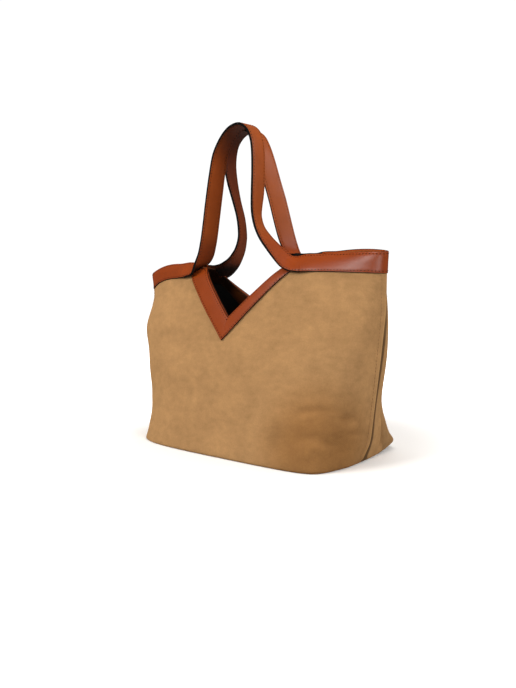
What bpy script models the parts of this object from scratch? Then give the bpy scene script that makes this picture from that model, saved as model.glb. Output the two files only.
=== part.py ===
"""Open tote bag with cloth panels, leather top bands, V trims and two strap handles.

Origin at the centre of the base on the floor, +X to the bag's right as seen from the front,
the front panel at -Y, +Z up. Every size is in metres.
"""
import math

import bpy
from mathutils import Vector

# Body outline
rim_height = 0.2950
side_rim_drop = 0.0035
top_half_width = 0.2450
base_half_depth = 0.1080
corner_round = 0.0070

# Leather bands and V trims
band_low_height = 0.2720
band_side_drop = 0.0100
band_end_x = 0.1240
panel_slope_x = 0.1480
shoulder_setback = 0.0030
trim_outer_end_x = 0.1030
trim_inner_end_x = 0.0800
notch_tip_height = 0.2070
trim_tip_drop = 0.0350
trim_outer_tip_height = notch_tip_height - trim_tip_drop
trim_inner_end_height = 0.2810
trim_setback = 0.0012

# Sheet thicknesses and clearances
cloth_thickness = 0.0016
lining_thickness = 0.0008
leather_thickness = 0.0018
facing_thickness = 0.0014
board_thickness = 0.0020
gap = 0.0003
rim_setback = 0.0010
lining_setback = 0.0030
trim_gap = 0.0009
lining_gap = 0.0006
lining_floor = cloth_thickness + 2.0 * lining_gap + board_thickness

# Base board
board_inset = 0.0140

# Strap handles
strap_half_width = 0.0150
strap_end_gap = 0.0006
strap_foot_y = 0.0390
strap_foot_z = 0.2720
fold_line_out = 0.0030
fold_line_rise = 0.0015
handle_height = 0.5040

# Grid counts
body_columns = 26
wall_rows = 6
row_crowding = 1.4
rim_rows = 4
round_rows = 3
floor_rows = 2
strap_steps = 60

# Height along the wall as a share of the rim height, then the value there as a share of the named size
half_width_share = (
    (0.0, 0.845),
    (0.12, 0.881),
    (0.22, 0.902),
    (0.30, 0.914),
    (0.44, 0.932),
    (0.59, 0.956),
    (0.75, 0.982),
    (0.90, 0.992),
    (1.0, 1.0),
)
half_depth_share = (
    (0.0, 1.0),
    (0.12, 0.958),
    (0.22, 0.905),
    (0.30, 0.850),
    (0.44, 0.765),
    (0.59, 0.640),
    (0.75, 0.535),
    (0.84, 0.468),
    (0.90, 0.415),
    (0.95, 0.330),
    (1.0, 0.170),
)
# Power of the rounded outline: high is boxy, two is an ellipse
outline_power = (
    (0.0, 7.0),
    (0.12, 5.5),
    (0.22, 4.5),
    (0.30, 3.8),
    (0.44, 3.4),
    (0.59, 3.0),
    (0.75, 2.4),
    (0.922, 1.9),
    (1.0, 2.8),
)

# Outer edge of each strap from one end over the top to the other, the front one from its right
# end, the back one from its left end and written as if it stood in front after half a turn.
# X as a share of the band end, Y as a share of the strap foot's depth, Z as a share of the way
# from the foot to the top of the handle, then the direction across the strap as three shares.
front_strap_edge_share = (
    (0.930, 0.980, 0.002, -0.01, 0.70, 0.71),
    (0.860, 1.020, 0.012, -0.04, 0.78, 0.62),
    (0.770, 1.060, 0.040, -0.08, 0.86, 0.50),
    (0.656, 1.100, 0.100, -0.09, 0.92, 0.36),
    (0.563, 1.125, 0.156, -0.09, 0.96, 0.24),
    (0.460, 1.128, 0.226, -0.14, 0.98, 0.12),
    (0.379, 1.103, 0.306, -0.26, 0.96, 0.03),
    (0.335, 1.077, 0.379, -0.28, 0.96, 0.00),
    (0.320, 1.050, 0.444, -0.21, 0.98, 0.00),
    (0.310, 0.975, 0.543, -0.10, 0.99, 0.00),
    (0.307, 0.900, 0.670, -0.07, 1.00, 0.00),
    (0.300, 0.850, 0.798, -0.06, 1.00, 0.00),
    (0.270, 0.820, 0.885, -0.04, 1.00, 0.00),
    (0.195, 0.800, 0.953, -0.02, 1.00, 0.00),
    (0.075, 0.795, 0.992, 0.00, 1.00, 0.00),
    (-0.060, 0.795, 0.990, 0.00, 1.00, 0.00),
    (-0.180, 0.800, 0.960, 0.02, 1.00, 0.00),
    (-0.290, 0.815, 0.905, 0.04, 1.00, 0.00),
    (-0.385, 0.845, 0.825, 0.08, 1.00, 0.00),
    (-0.440, 0.900, 0.710, 0.14, 0.99, 0.00),
    (-0.485, 0.955, 0.590, 0.20, 0.98, 0.00),
    (-0.525, 1.000, 0.475, 0.22, 0.98, 0.00),
    (-0.560, 1.035, 0.370, 0.22, 0.98, 0.00),
    (-0.610, 1.065, 0.250, 0.24, 0.97, 0.02),
    (-0.680, 1.075, 0.140, 0.26, 0.95, 0.12),
    (-0.745, 1.070, 0.065, 0.20, 0.91, 0.30),
    (-0.815, 1.040, 0.016, 0.10, 0.84, 0.50),
    (-0.900, 0.995, 0.004, 0.03, 0.72, 0.68),
)
back_strap_edge_share = (
    (0.924, 0.987, 0.002, -0.01, 0.70, 0.71),
    (0.851, 1.026, 0.011, -0.04, 0.76, 0.65),
    (0.762, 1.064, 0.028, -0.08, 0.82, 0.57),
    (0.673, 1.090, 0.056, -0.11, 0.88, 0.46),
    (0.600, 1.103, 0.088, -0.14, 0.93, 0.34),
    (0.539, 1.115, 0.129, -0.18, 0.95, 0.22),
    (0.486, 1.128, 0.181, -0.24, 0.96, 0.12),
    (0.450, 1.128, 0.241, -0.30, 0.95, 0.05),
    (0.429, 1.108, 0.310, -0.33, 0.94, 0.00),
    (0.442, 1.077, 0.418, -0.34, 0.94, 0.00),
    (0.490, 1.026, 0.543, -0.32, 0.95, 0.00),
    (0.511, 0.936, 0.681, -0.20, 0.98, 0.00),
    (0.506, 0.872, 0.802, -0.12, 0.99, 0.00),
    (0.454, 0.833, 0.901, -0.08, 1.00, 0.00),
    (0.373, 0.815, 0.957, -0.04, 1.00, 0.00),
    (0.259, 0.800, 0.991, -0.02, 1.00, 0.00),
    (0.138, 0.795, 0.998, 0.00, 1.00, 0.00),
    (0.032, 0.795, 0.981, 0.04, 1.00, 0.00),
    (-0.065, 0.800, 0.940, 0.10, 0.99, 0.00),
    (-0.134, 0.826, 0.871, 0.20, 0.98, 0.00),
    (-0.194, 0.867, 0.776, 0.28, 0.96, 0.00),
    (-0.267, 0.928, 0.629, 0.36, 0.93, 0.00),
    (-0.336, 0.987, 0.491, 0.40, 0.92, 0.00),
    (-0.397, 1.038, 0.345, 0.40, 0.92, 0.00),
    (-0.446, 1.072, 0.233, 0.36, 0.93, 0.04),
    (-0.502, 1.090, 0.147, 0.30, 0.94, 0.14),
    (-0.575, 1.097, 0.094, 0.24, 0.92, 0.30),
    (-0.660, 1.090, 0.064, 0.18, 0.88, 0.42),
    (-0.755, 1.064, 0.032, 0.12, 0.82, 0.54),
    (-0.845, 1.026, 0.012, 0.06, 0.76, 0.64),
    (-0.924, 0.987, 0.002, 0.01, 0.70, 0.71),
)

cloth_color = (0.46, 0.26, 0.11, 1.0)
leather_color = (0.30, 0.055, 0.016, 1.0)
leather_inner_color = (0.16, 0.035, 0.012, 1.0)
lining_color = (0.012, 0.010, 0.009, 1.0)
board_color = (0.05, 0.045, 0.04, 1.0)


def smooth_table(table, at):
    """Read a table at a place along it, with a smooth curve that never swings past its points."""
    xs = [row[0] for row in table]
    ys = [row[1] for row in table]
    count = len(xs)
    if at <= xs[0]:
        return ys[0]
    if at >= xs[-1]:
        return ys[-1]
    slopes = [(ys[i + 1] - ys[i]) / (xs[i + 1] - xs[i]) for i in range(count - 1)]
    tangents = [slopes[0]]
    for i in range(1, count - 1):
        if slopes[i - 1] * slopes[i] <= 0.0:
            tangents.append(0.0)
        else:
            tangents.append(2.0 * slopes[i - 1] * slopes[i] / (slopes[i - 1] + slopes[i]))
    tangents.append(slopes[-1])
    i = max(k for k in range(count - 1) if xs[k] <= at)
    step = xs[i + 1] - xs[i]
    t = (at - xs[i]) / step
    return (
        (2 * t ** 3 - 3 * t ** 2 + 1) * ys[i]
        + (t ** 3 - 2 * t ** 2 + t) * step * tangents[i]
        + (-2 * t ** 3 + 3 * t ** 2) * ys[i + 1]
        + (t ** 3 - t ** 2) * step * tangents[i + 1]
    )


def outline_at(z):
    """Half width, half depth and power of the body outline at a height."""
    share = min(max(z / rim_height, 0.0), 1.0)
    width = top_half_width * smooth_table(half_width_share, share)
    depth = base_half_depth * smooth_table(half_depth_share, share)
    return width, depth, smooth_table(outline_power, share)


def front_depth(x, z):
    """Distance of the front wall from the middle plane at a place across it."""
    width, depth, power = outline_at(z)
    inside = max(1.0 - (abs(x) / width) ** power, 0.0)
    return depth * inside ** (1.0 / power)


def outward(x, y, z):
    """Unit direction square to the body wall at a point of it."""
    nudge = rim_height / 10000.0

    def level(px, py, pz):
        width, depth, power = outline_at(pz)
        return (abs(px) / width) ** power + (abs(py) / depth) ** power

    low = min(z, rim_height - nudge)
    direction = Vector((
        level(x + nudge, y, z) - level(x - nudge, y, z),
        level(x, y + nudge, z) - level(x, y - nudge, z),
        level(x, y, low + nudge) - level(x, y, low - nudge) if low > nudge else 0.0,
    ))
    return direction.normalized()


section_samples = 160


def section_line(z):
    """Front half of the outline at a height, from the right seam to the left seam, with its lengths."""
    width, depth, power = outline_at(z)
    points = []
    for i in range(section_samples + 1):
        angle = math.pi * i / section_samples
        c = math.cos(angle)
        s = max(math.sin(angle), 0.0)
        reach = ((abs(c) / width) ** power + (s / depth) ** power) ** (-1.0 / power)
        points.append((reach * c, -reach * s))
    lengths = [0.0]
    for a, b in zip(points, points[1:]):
        lengths.append(lengths[-1] + math.hypot(b[0] - a[0], b[1] - a[1]))
    return points, lengths


section_store = {}


def wall_xy(s, z):
    """Point of the front wall at a share of the way round from the right seam to the left seam."""
    key = round(z, 7)
    if key not in section_store:
        section_store[key] = section_line(z)
    points, lengths = section_store[key]
    mirrored = s > 0.5
    target = (1.0 - s if mirrored else s) * lengths[-1]
    i = 0
    while i < len(lengths) - 2 and lengths[i + 1] < target:
        i += 1
    t = (target - lengths[i]) / (lengths[i + 1] - lengths[i])
    x = points[i][0] + (points[i + 1][0] - points[i][0]) * t
    y = points[i][1] + (points[i + 1][1] - points[i][1]) * t
    return (-x if mirrored else x), y


def level_point(s, z):
    """Point of the front wall and its level outward direction."""
    x, y = wall_xy(s, z)
    n = outward(x, y, z)
    n.z = 0.0
    return x, y, n.normalized()


def share_at(x, z):
    """Share of the way round at which the wall reaches a distance from the middle."""
    low, high = 0.0, 0.5
    for _ in range(40):
        mid = (low + high) / 2.0
        if wall_xy(mid, z)[0] > x:
            low = mid
        else:
            high = mid
    return (low + high) / 2.0


def band_low(x):
    """Height of the lower edge of the top band."""
    return band_low_height - band_side_drop * (abs(x) / top_half_width) ** 4


def band_high(x):
    """Height of the upper edge of the top band."""
    return rim_height - side_rim_drop * (abs(x) / top_half_width) ** 6


def notch_line(x):
    """Height of the cut edge of the panel beside and inside the V."""
    across = abs(x)
    if across <= trim_inner_end_x:
        rise = trim_inner_end_height - notch_tip_height
        return notch_tip_height + rise * across / trim_inner_end_x
    if across <= trim_outer_end_x:
        t = (across - trim_inner_end_x) / (trim_outer_end_x - trim_inner_end_x)
        return trim_inner_end_height + (band_low_height - shoulder_setback - trim_inner_end_height) * t
    if across <= band_end_x:
        return band_low_height - shoulder_setback
    t = (across - band_end_x) / (panel_slope_x - band_end_x)
    return band_low_height - shoulder_setback + (band_high(across) + shoulder_setback - band_low_height) * t


def column_top(s):
    """Heights between which the last rows of a wall stand in one column, its full height last."""
    x_low = wall_xy(s, band_low_height)[0]
    x_high = wall_xy(s, rim_height)[0]
    if abs(x_low) >= panel_slope_x - gap:
        return band_low(x_low), band_high(x_high)
    low, high = notch_tip_height / 2.0, rim_height
    for _ in range(40):
        mid = (low + high) / 2.0
        if notch_line(wall_xy(s, mid)[0]) > mid:
            low = mid
        else:
            high = mid
    edge = (low + high) / 2.0
    return min(edge - rim_rows * lining_setback / 2.0, band_low(x_low)), edge


def column_shares():
    """Shares round the panel at which its columns stand, each bend of the cut edge among them."""
    slope = share_at(panel_slope_x, band_low_height)
    end = share_at(band_end_x, band_low_height)
    outer = share_at(trim_outer_end_x, band_low_height)
    inner = share_at(trim_inner_end_x, trim_inner_end_height)
    half = body_columns // 2
    side_count = half - 6
    side = [slope * i / side_count for i in range(side_count)]
    middle = [inner + (0.5 - inner) * i / 4 for i in range(1, 4)]
    fall = [slope + (end - slope) * i / 3 for i in range(3)]
    right = side + fall + [end, outer, inner] + middle
    return right + [0.5] + [1.0 - s for s in reversed(right)]


shares = column_shares()


def panel_grid(offset, floor_height, setback):
    """Rows of points over half of the floor, the rounded lower edge and one wall."""
    rows = []
    half_gap = gap / 2.0
    for k in range(floor_rows):
        row = []
        for s in shares:
            x, y, n = level_point(s, floor_height)
            edge_x = x - n.x * (corner_round - offset)
            edge_y = y - n.y * (corner_round - offset)
            line_x = (1.0 - 2.0 * s) * (outline_at(0.0)[0] - 2.0 * corner_round)
            t = k / floor_rows
            row.append(Vector((line_x + (edge_x - line_x) * t, min(edge_y * t, -half_gap), floor_height)))
        rows.append(row)
    for k in range(round_rows + 1):
        turn = math.pi / 2.0 * k / round_rows
        row = []
        z = floor_height + corner_round * (1.0 - math.cos(turn))
        for s in shares:
            x, y, n = level_point(s, z)
            inset = corner_round * (1.0 - math.sin(turn))
            row.append(Vector((x - n.x * (inset - offset), min(y - n.y * (inset - offset), -half_gap), z)))
        rows.append(row)
    bottom = corner_round + lining_floor
    first = 0 if floor_height < lining_floor else 1
    for k in range(first, wall_rows + 1):
        climb = 1.0 - (1.0 - k / wall_rows) ** row_crowding
        row = []
        for s in shares:
            low = column_top(s)[0]
            row.append(wall_point(s, bottom + (low - bottom) * climb, offset))
        rows.append(row)
    for k in range(1, rim_rows + 1):
        row = []
        for s in shares:
            low, high = column_top(s)
            step = (high - low) / rim_rows
            point = wall_point(s, low + step * k, offset)
            if k == rim_rows:
                point = point.lerp(wall_point(s, high - step, offset), min(setback / step, 0.9))
            row.append(point)
        rows.append(row)
    return rows


def wall_point(s, z, offset):
    """Point of the front wall moved outward, kept on its own side of the side seams."""
    x, y = wall_xy(s, z)
    n = outward(x, y, z)
    return Vector((x + n.x * offset, min(y + n.y * offset, -gap / 2.0), z + n.z * offset))


def face_point(x, z, offset):
    """Point of the front wall found by its place across, moved outward."""
    y = -front_depth(x, z)
    n = outward(x, y, z)
    return Vector((x + n.x * offset, y + n.y * offset, z + n.z * offset))


def turned(rows):
    """The same rows turned half a turn about the upright axis."""
    return [[Vector((-p.x, -p.y, p.z)) for p in row] for row in rows]


def sheet_object(name, outer, inner, material):
    """Closed solid between two grids of the same size."""
    rows = len(outer)
    cols = len(outer[0])
    verts = [p for row in outer for p in row] + [p for row in inner for p in row]
    shift = rows * cols
    faces = []
    for r in range(rows - 1):
        for c in range(cols - 1):
            a = r * cols + c
            b = shift + a
            faces.append((a, a + 1, a + cols + 1))
            faces.append((a, a + cols + 1, a + cols))
            faces.append((b, b + cols + 1, b + 1))
            faces.append((b, b + cols, b + cols + 1))
    border = [c for c in range(cols)]
    border += [r * cols + cols - 1 for r in range(1, rows)]
    border += [(rows - 1) * cols + c for c in range(cols - 2, -1, -1)]
    border += [r * cols for r in range(rows - 2, 0, -1)]
    for i, a in enumerate(border):
        b = border[(i + 1) % len(border)]
        faces.append((b, a, shift + a, shift + b))
    return add_object(name, verts, faces, material)


def add_object(name, verts, faces, material, origin=None):
    """Add one mesh object, its faces pointing out, with its origin where it turns."""
    base = origin if origin is not None else Vector((0.0, 0.0, 0.0))
    mesh = bpy.data.meshes.new(name)
    mesh.from_pydata([tuple(Vector(v) - base) for v in verts], [], faces)
    mesh.update()
    volume = 0.0
    mesh.calc_loop_triangles()
    for tri in mesh.loop_triangles:
        a, b, c = (mesh.vertices[i].co for i in tri.vertices)
        volume += a.dot(b.cross(c))
    if volume < 0.0:
        mesh.flip_normals()
    mesh.materials.append(material)
    obj = bpy.data.objects.new(name, mesh)
    obj.location = base
    bpy.context.scene.collection.objects.link(obj)
    return obj


def make_material(name, color, roughness):
    material = bpy.data.materials.new(name)
    material.use_nodes = True
    shader = material.node_tree.nodes["Principled BSDF"]
    shader.inputs["Base Color"].default_value = color
    shader.inputs["Roughness"].default_value = roughness
    return material


def clear_scene():
    for obj in list(bpy.data.objects):
        bpy.data.objects.remove(obj, do_unlink=True)


def build_panels(cloth, lining):
    """Cloth panels and the lining inside them."""
    outer = panel_grid(0.0, 0.0, rim_setback)
    inner = panel_grid(-cloth_thickness, cloth_thickness, rim_setback)
    sheet_object("front_panel", outer, inner, cloth)
    sheet_object("back_panel", turned(outer), turned(inner), cloth)
    lining_out = -(cloth_thickness + lining_gap)
    lining_in = lining_out - lining_thickness
    outer = panel_grid(lining_out, lining_floor, lining_setback)
    inner = panel_grid(lining_in, lining_floor + lining_thickness, lining_setback)
    sheet_object("front_lining", outer, inner, lining)
    sheet_object("back_lining", turned(outer), turned(inner), lining)


def build_board(material):
    """Stiff board between the cloth floor and the lining."""
    low = cloth_thickness + lining_gap
    high = low + board_thickness
    ring = []
    for side in (-1.0, 1.0):
        for s in shares[:-1]:
            x, y, n = level_point(s, low)
            px = x - n.x * board_inset
            py = min(y - n.y * board_inset, 0.0)
            ring.append((-side * px, -side * py))
    count = len(ring)
    verts = [Vector((x, y, low)) for x, y in ring] + [Vector((x, y, high)) for x, y in ring]
    faces = [tuple(range(count)), tuple(reversed(range(count, 2 * count)))]
    for i in range(count):
        j = (i + 1) % count
        faces.append((i, i + count, j + count, j))
    add_object("base_board", verts, faces, material)


def band_rows(columns, offset):
    """Rows of a top band over some of the panel's columns."""
    rows = []
    for k in range(rim_rows + 1):
        climb = k / rim_rows
        row = []
        for s in columns:
            x_low = wall_xy(s, band_low_height)[0]
            x_high = wall_xy(s, rim_height)[0]
            at_end = abs(x_low) < band_end_x + gap
            if at_end:
                x_low = math.copysign(band_end_x, x_low)
                x_high = x_low
            low = band_low(x_low)
            z = low + (band_high(x_high) - low) * climb
            row.append(face_point(x_low, z, offset) if at_end else wall_point(s, z, offset))
        rows.append(row)
    return rows


def build_bands(leather, inner_leather):
    """Leather bands outside the rim and their facings inside it."""
    end = share_at(band_end_x, band_low_height)
    right = [s for s in shares if s <= end + 0.0001]
    left = [1.0 - s for s in reversed(right)]
    skin = gap
    back = -(cloth_thickness + 2.0 * lining_gap + lining_thickness)
    for side, columns in (("right", right), ("left", left)):
        other = "left" if side == "right" else "right"
        outer = band_rows(columns, skin + leather_thickness)
        inner = band_rows(columns, skin)
        sheet_object("front_" + side + "_band", outer, inner, leather)
        sheet_object("back_" + other + "_band", turned(outer), turned(inner), leather)
        outer = band_rows(columns, back)
        inner = band_rows(columns, back - facing_thickness)
        sheet_object("front_" + side + "_facing", outer, inner, inner_leather)
        sheet_object("back_" + other + "_facing", turned(outer), turned(inner), inner_leather)


trim_steps = 10
trim_strips = 3


def trim_rows(side, offset, middle_gap):
    """Rows across one arm of the V from its outer edge to its inner edge."""
    rows = []
    for k in range(trim_strips + 1):
        across = k / trim_strips
        row = []
        for i in range(trim_steps + 1):
            t = i / trim_steps
            tip = trim_outer_tip_height + (notch_tip_height - trim_outer_tip_height) * across
            end_x = trim_outer_end_x + (trim_inner_end_x - trim_outer_end_x) * across
            end_z = band_low_height + (trim_inner_end_height - band_low_height) * across - trim_setback
            x = max(end_x * t, middle_gap)
            z = tip + (end_z - tip) * t
            row.append(face_point(side * x, z, offset))
        rows.append(row)
    return rows


def build_trims(leather, inner_leather):
    """Leather arms of the V outside, and one V facing inside each panel."""
    for side, name in ((1.0, "right"), (-1.0, "left")):
        other = "left" if name == "right" else "right"
        outer = trim_rows(side, trim_gap + leather_thickness, gap / 2.0)
        inner = trim_rows(side, trim_gap, gap / 2.0)
        sheet_object("front_" + name + "_trim", outer, inner, leather)
        sheet_object("back_" + other + "_trim", turned(outer), turned(inner), leather)
    back = -(cloth_thickness + lining_gap + lining_thickness + trim_gap)
    grids = []
    for offset in (back, back - facing_thickness):
        right = trim_rows(1.0, offset, 0.0)
        left = trim_rows(-1.0, offset, 0.0)
        grids.append([list(reversed(a)) + b[1:] for a, b in zip(left, right)])
    sheet_object("front_v_facing", grids[0], grids[1], inner_leather)
    sheet_object("back_v_facing", turned(grids[0]), turned(grids[1]), inner_leather)


def curve_points(table, count):
    """Even steps along a smooth curve through the rows of a table."""
    def at(i, t):
        p = [table[max(min(i + k, len(table) - 1), 0)] for k in (-1, 0, 1, 2)]
        return [
            0.5 * (2 * b + (c - a) * t + (2 * a - 5 * b + 4 * c - d) * t * t + (3 * b - a - 3 * c + d) * t ** 3)
            for a, b, c, d in zip(*p)
        ]

    fine = []
    per = 16
    for i in range(len(table) - 1):
        for k in range(per):
            fine.append(at(i, k / per))
    fine.append(list(table[-1]))
    lengths = [0.0]
    for a, b in zip(fine, fine[1:]):
        lengths.append(lengths[-1] + math.dist(a[:3], b[:3]))
    points = []
    j = 0
    for i in range(count + 1):
        target = lengths[-1] * i / count
        while j < len(fine) - 2 and lengths[j + 1] < target:
            j += 1
        t = (target - lengths[j]) / (lengths[j + 1] - lengths[j])
        points.append([a + (b - a) * t for a, b in zip(fine[j], fine[j + 1])])
    return points


def strap_end(side):
    """Centre and direction across where the strap meets the end of its band."""
    x = side * (band_end_x - strap_end_gap)
    low = face_point(x, band_low(x), gap / 2.0)
    high = face_point(x, band_high(x), gap / 2.0)
    across = (high - low).normalized()
    return tuple((low + high) / 2.0) + tuple(across)


def strap_line(edge_shares):
    """Centre, direction across and outward direction at each step of a strap that stands in front."""
    table = []
    for x, y, z, wx, wy, wz in edge_shares:
        across = Vector((wx, wy, wz)).normalized()
        end_x = band_end_x - strap_end_gap
        edge = Vector((
            x * end_x,
            -y * strap_foot_y,
            strap_foot_z + z * (handle_height - strap_foot_z),
        ))
        centre = edge + across * strap_half_width
        table.append(tuple(centre) + tuple(across))
    table = [strap_end(1.0)] + table + [strap_end(-1.0)]
    steps = curve_points(table, strap_steps)
    line = []
    for i, row in enumerate(steps):
        before = Vector(steps[max(i - 1, 0)][:3])
        after = Vector(steps[min(i + 1, len(steps) - 1)][:3])
        along = (after - before).normalized()
        if i == 0:
            along = Vector((-1.0, 0.0, 0.0))
        if i == len(steps) - 1:
            along = Vector((-1.0, 0.0, 0.0))
        across = Vector(row[3:])
        across = (across - along * across.dot(along)).normalized()
        line.append((Vector(row[:3]), across, across.cross(along).normalized()))
    return line


def build_handle(side, material, inner_material):
    """Two plies of one strap handle."""
    front = side == "front"
    line = strap_line(front_strap_edge_share if front else back_strap_edge_share)
    fold_y = strap_foot_y + fold_line_out
    origin = Vector((0.0, -fold_y if front else fold_y, strap_foot_z + fold_line_rise))
    chamfer = leather_thickness / 4.0
    for ply, start, mat in (("outer", gap / 2.0, material), ("inner", -gap / 2.0 - leather_thickness, inner_material)):
        end = start + leather_thickness
        profile = [
            (-strap_half_width, start),
            (-strap_half_width, end - chamfer),
            (-strap_half_width + chamfer, end),
            (strap_half_width - chamfer, end),
            (strap_half_width, end - chamfer),
            (strap_half_width, start),
        ]
        if ply == "inner":
            profile = [(-u, start + end - v) for u, v in profile]
        verts = []
        for centre, across, out in line:
            for u, v in profile:
                p = centre + across * u + out * v
                if not front:
                    p = Vector((-p.x, -p.y, p.z))
                verts.append(p)
        size = len(profile)
        faces = [tuple(reversed(range(size))), tuple(range(len(verts) - size, len(verts)))]
        for i in range(len(line) - 1):
            for k in range(size):
                a = i * size + k
                b = i * size + (k + 1) % size
                if profile[k][0] <= profile[(k + 1) % size][0]:
                    faces.append((a, b, b + size))
                    faces.append((a, b + size, a + size))
                else:
                    faces.append((a, b, a + size))
                    faces.append((b, b + size, a + size))
        add_object(side + "_handle_" + ply, verts, faces, mat, origin)


def main():
    clear_scene()
    cloth = make_material("cloth", cloth_color, 0.9)
    leather = make_material("leather", leather_color, 0.4)
    inner_leather = make_material("leather_inner", leather_inner_color, 0.5)
    lining = make_material("lining", lining_color, 0.9)
    board = make_material("board", board_color, 0.8)
    build_panels(cloth, lining)
    build_board(board)
    build_bands(leather, inner_leather)
    build_trims(leather, inner_leather)
    build_handle("front", leather, inner_leather)
    build_handle("back", leather, inner_leather)


main()
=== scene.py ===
"""Open tote bag with cloth panels, leather top bands, V trims and two strap handles."""
import math

import bpy
import numpy as np
from bpy.props import FloatProperty, FloatVectorProperty, PointerProperty
from bpy.types import Operator, Panel, PropertyGroup
from mathutils import Matrix, Vector


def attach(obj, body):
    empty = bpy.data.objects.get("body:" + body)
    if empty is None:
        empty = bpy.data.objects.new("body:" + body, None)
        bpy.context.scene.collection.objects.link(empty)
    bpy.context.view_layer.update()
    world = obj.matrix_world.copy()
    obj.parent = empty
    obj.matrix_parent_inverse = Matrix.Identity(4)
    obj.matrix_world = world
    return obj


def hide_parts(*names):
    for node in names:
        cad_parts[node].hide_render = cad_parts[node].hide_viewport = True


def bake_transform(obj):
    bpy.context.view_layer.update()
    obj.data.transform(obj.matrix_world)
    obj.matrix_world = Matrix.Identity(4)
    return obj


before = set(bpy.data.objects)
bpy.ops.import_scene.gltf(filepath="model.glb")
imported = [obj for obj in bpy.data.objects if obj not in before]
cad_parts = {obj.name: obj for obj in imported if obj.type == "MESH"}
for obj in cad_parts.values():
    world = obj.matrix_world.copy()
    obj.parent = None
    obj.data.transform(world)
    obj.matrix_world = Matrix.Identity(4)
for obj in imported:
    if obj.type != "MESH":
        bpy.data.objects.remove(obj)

bl_info = {
    "name": "Tote Bag",
    "version": (1, 0, 0),
    "blender": (4, 5, 0),
    "location": "3D View > Sidebar > Tote Bag",
    "description": "Builds an open cloth and leather tote bag piece by piece",
    "category": "Add Mesh",
}

# Body outline, in metres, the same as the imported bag
RIM = 0.2950
SIDE_RIM_DROP = 0.0035
HALF_WIDTH = 0.2450
HALF_DEPTH = 0.1080
BASE_ROUND = 0.0042
BAND_LOW = 0.2720
BAND_SIDE_DROP = 0.0100
BAND_END = 0.1240
BAND_TALL = 0.0305
FACING_END = 0.1010
PANEL_SLOPE = 0.1480
SHOULDER_TUCK = 0.0110
V_OUTER_TIP = 0.1720
V_OUTER_END = 0.1030
V_INNER_END = 0.0800
V_INNER_TIP = 0.2070
V_INNER_TOP = 0.2810
V_SETBACK = 0.0012
V_INNER_LEAN = 0.0120
V_INNER_TIP_LEAN = 0.0015
V_OUTER_TIP_LEAN = -0.0066
V_REACH = 1.10
V_END_THIN, V_THIN_FROM, V_THIN_RUN = 0.55, 0.98, 0.06
TRIM_WIDTH = 0.0262
MITRE_GROOVE = 0.00035

# Thicknesses, and the air between the layers
CLOTH = 0.0016
LINING = 0.0008
BOARD = 0.0020
LEATHER = 0.0018
FACING = 0.0014
LINING_GAP = 0.0006
INSIDE_GAP = 0.0012
BAND_GAP = 0.0003
TRIM_GAP = 0.0009
PLY_GAP = 0.00015
SEAM_AIR = 0.00015

# Leather strips, their lips over the cloth's edge, and the rows of stitches along them
STRAP_HALF = 0.0150
SHOULDER_PROUD = 0.0034
SHOULDER_RUN = 0.034
SHOULDER_SQUARE = 0.020
EDGE_ROUND = 0.0006
EDGE_BULGE = 0.00005
EDGE_CREASE = 0.0016
CREASE_HALF, CREASE_DEEP, CREASE_LIFT = 0.0004, 0.00016, 0.00002
UNDER_ROUND, UNDER_INSET = 0.0002, 0.0003
CROWN = 0.00025
CREST = 9
STITCH_INSET = 0.0030
STITCH_LIFT = 0.0001
EDGE_SETBACK = 0.0030
EDGE_FOLLOW = 0.006
LINING_SETBACK = 0.0018
LIP = 0.0014
LIP_STEP, LIP_AIR = 0.0001, 0.00002
LIP_OUTSIDE = -0.0016
LIP_INSIDE = -0.0017

# Lapped side seam: how far the front goes over, its relief, and its row of stitches
LAP_SHARE = 0.0030
LAP_FOLD, LAP_FOLD_WIDE, LAP_FOLD_EASE = 0.0013, 0.0085, 0.003
LAP_DENT, LAP_DENT_WIDE = 0.0006, 0.0011
LAP_LIP, LAP_LIP_AT, LAP_LIP_WIDE, LAP_LIP_FAINT = 0.0012, 0.0002, 0.0024, 0.3
LAP_GROOVE, LAP_GROOVE_WIDE, LAP_GROOVE_FAINT = 0.0030, 0.0050, 0.2
LAP_UNDER, LAP_UNDER_FROM, LAP_UNDER_OVER = 0.0012, 0.004, 0.02
LAP_FADE_FROM, LAP_FADE_OVER, LAP_FADE_BY = 0.10, 0.14, 0.75
LAP_STITCH = 0.0080
LAP_SEWN_FROM = 0.012
LAP_THREAD_OUT = 0.0004

# Straps: feet, top, and how far each foot holds to the band and eases away from it
FOOT_Y = 0.0390
FOOT_Z = 0.2720
HANDLE_TOP = 0.5040
STRAP_END_GAP = 0.0006
FOOT_HOLD = 0.024
FOOT_EASE = 0.040

# Flat lengths of a panel, and how many rows and columns of points the pieces have
PANEL_RUN = 0.60
FLOOR_FLAT = 0.11
LEVELS = 396
SHARES = 801
PANEL_COLUMNS = 221
LINING_COLUMNS = 121
FLOOR_ROWS, CORNER_ROWS, WALL_ROWS, RIM_ROWS = 8, 6, 84, 12
BAND_STEPS, FACING_STEPS, FOOT_STEPS = 72, 60, 40
V_STEPS, V_TIP_STEP = 48, 0.01
STRAP_STEPS = 320
STITCH_POINTS = 90
SEAM_POINTS = 120
CURVE_PARTS = 16
RING_CLOSE = 0.001
PANEL_SHARP, STRIP_SHARP = 60, 50
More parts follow.
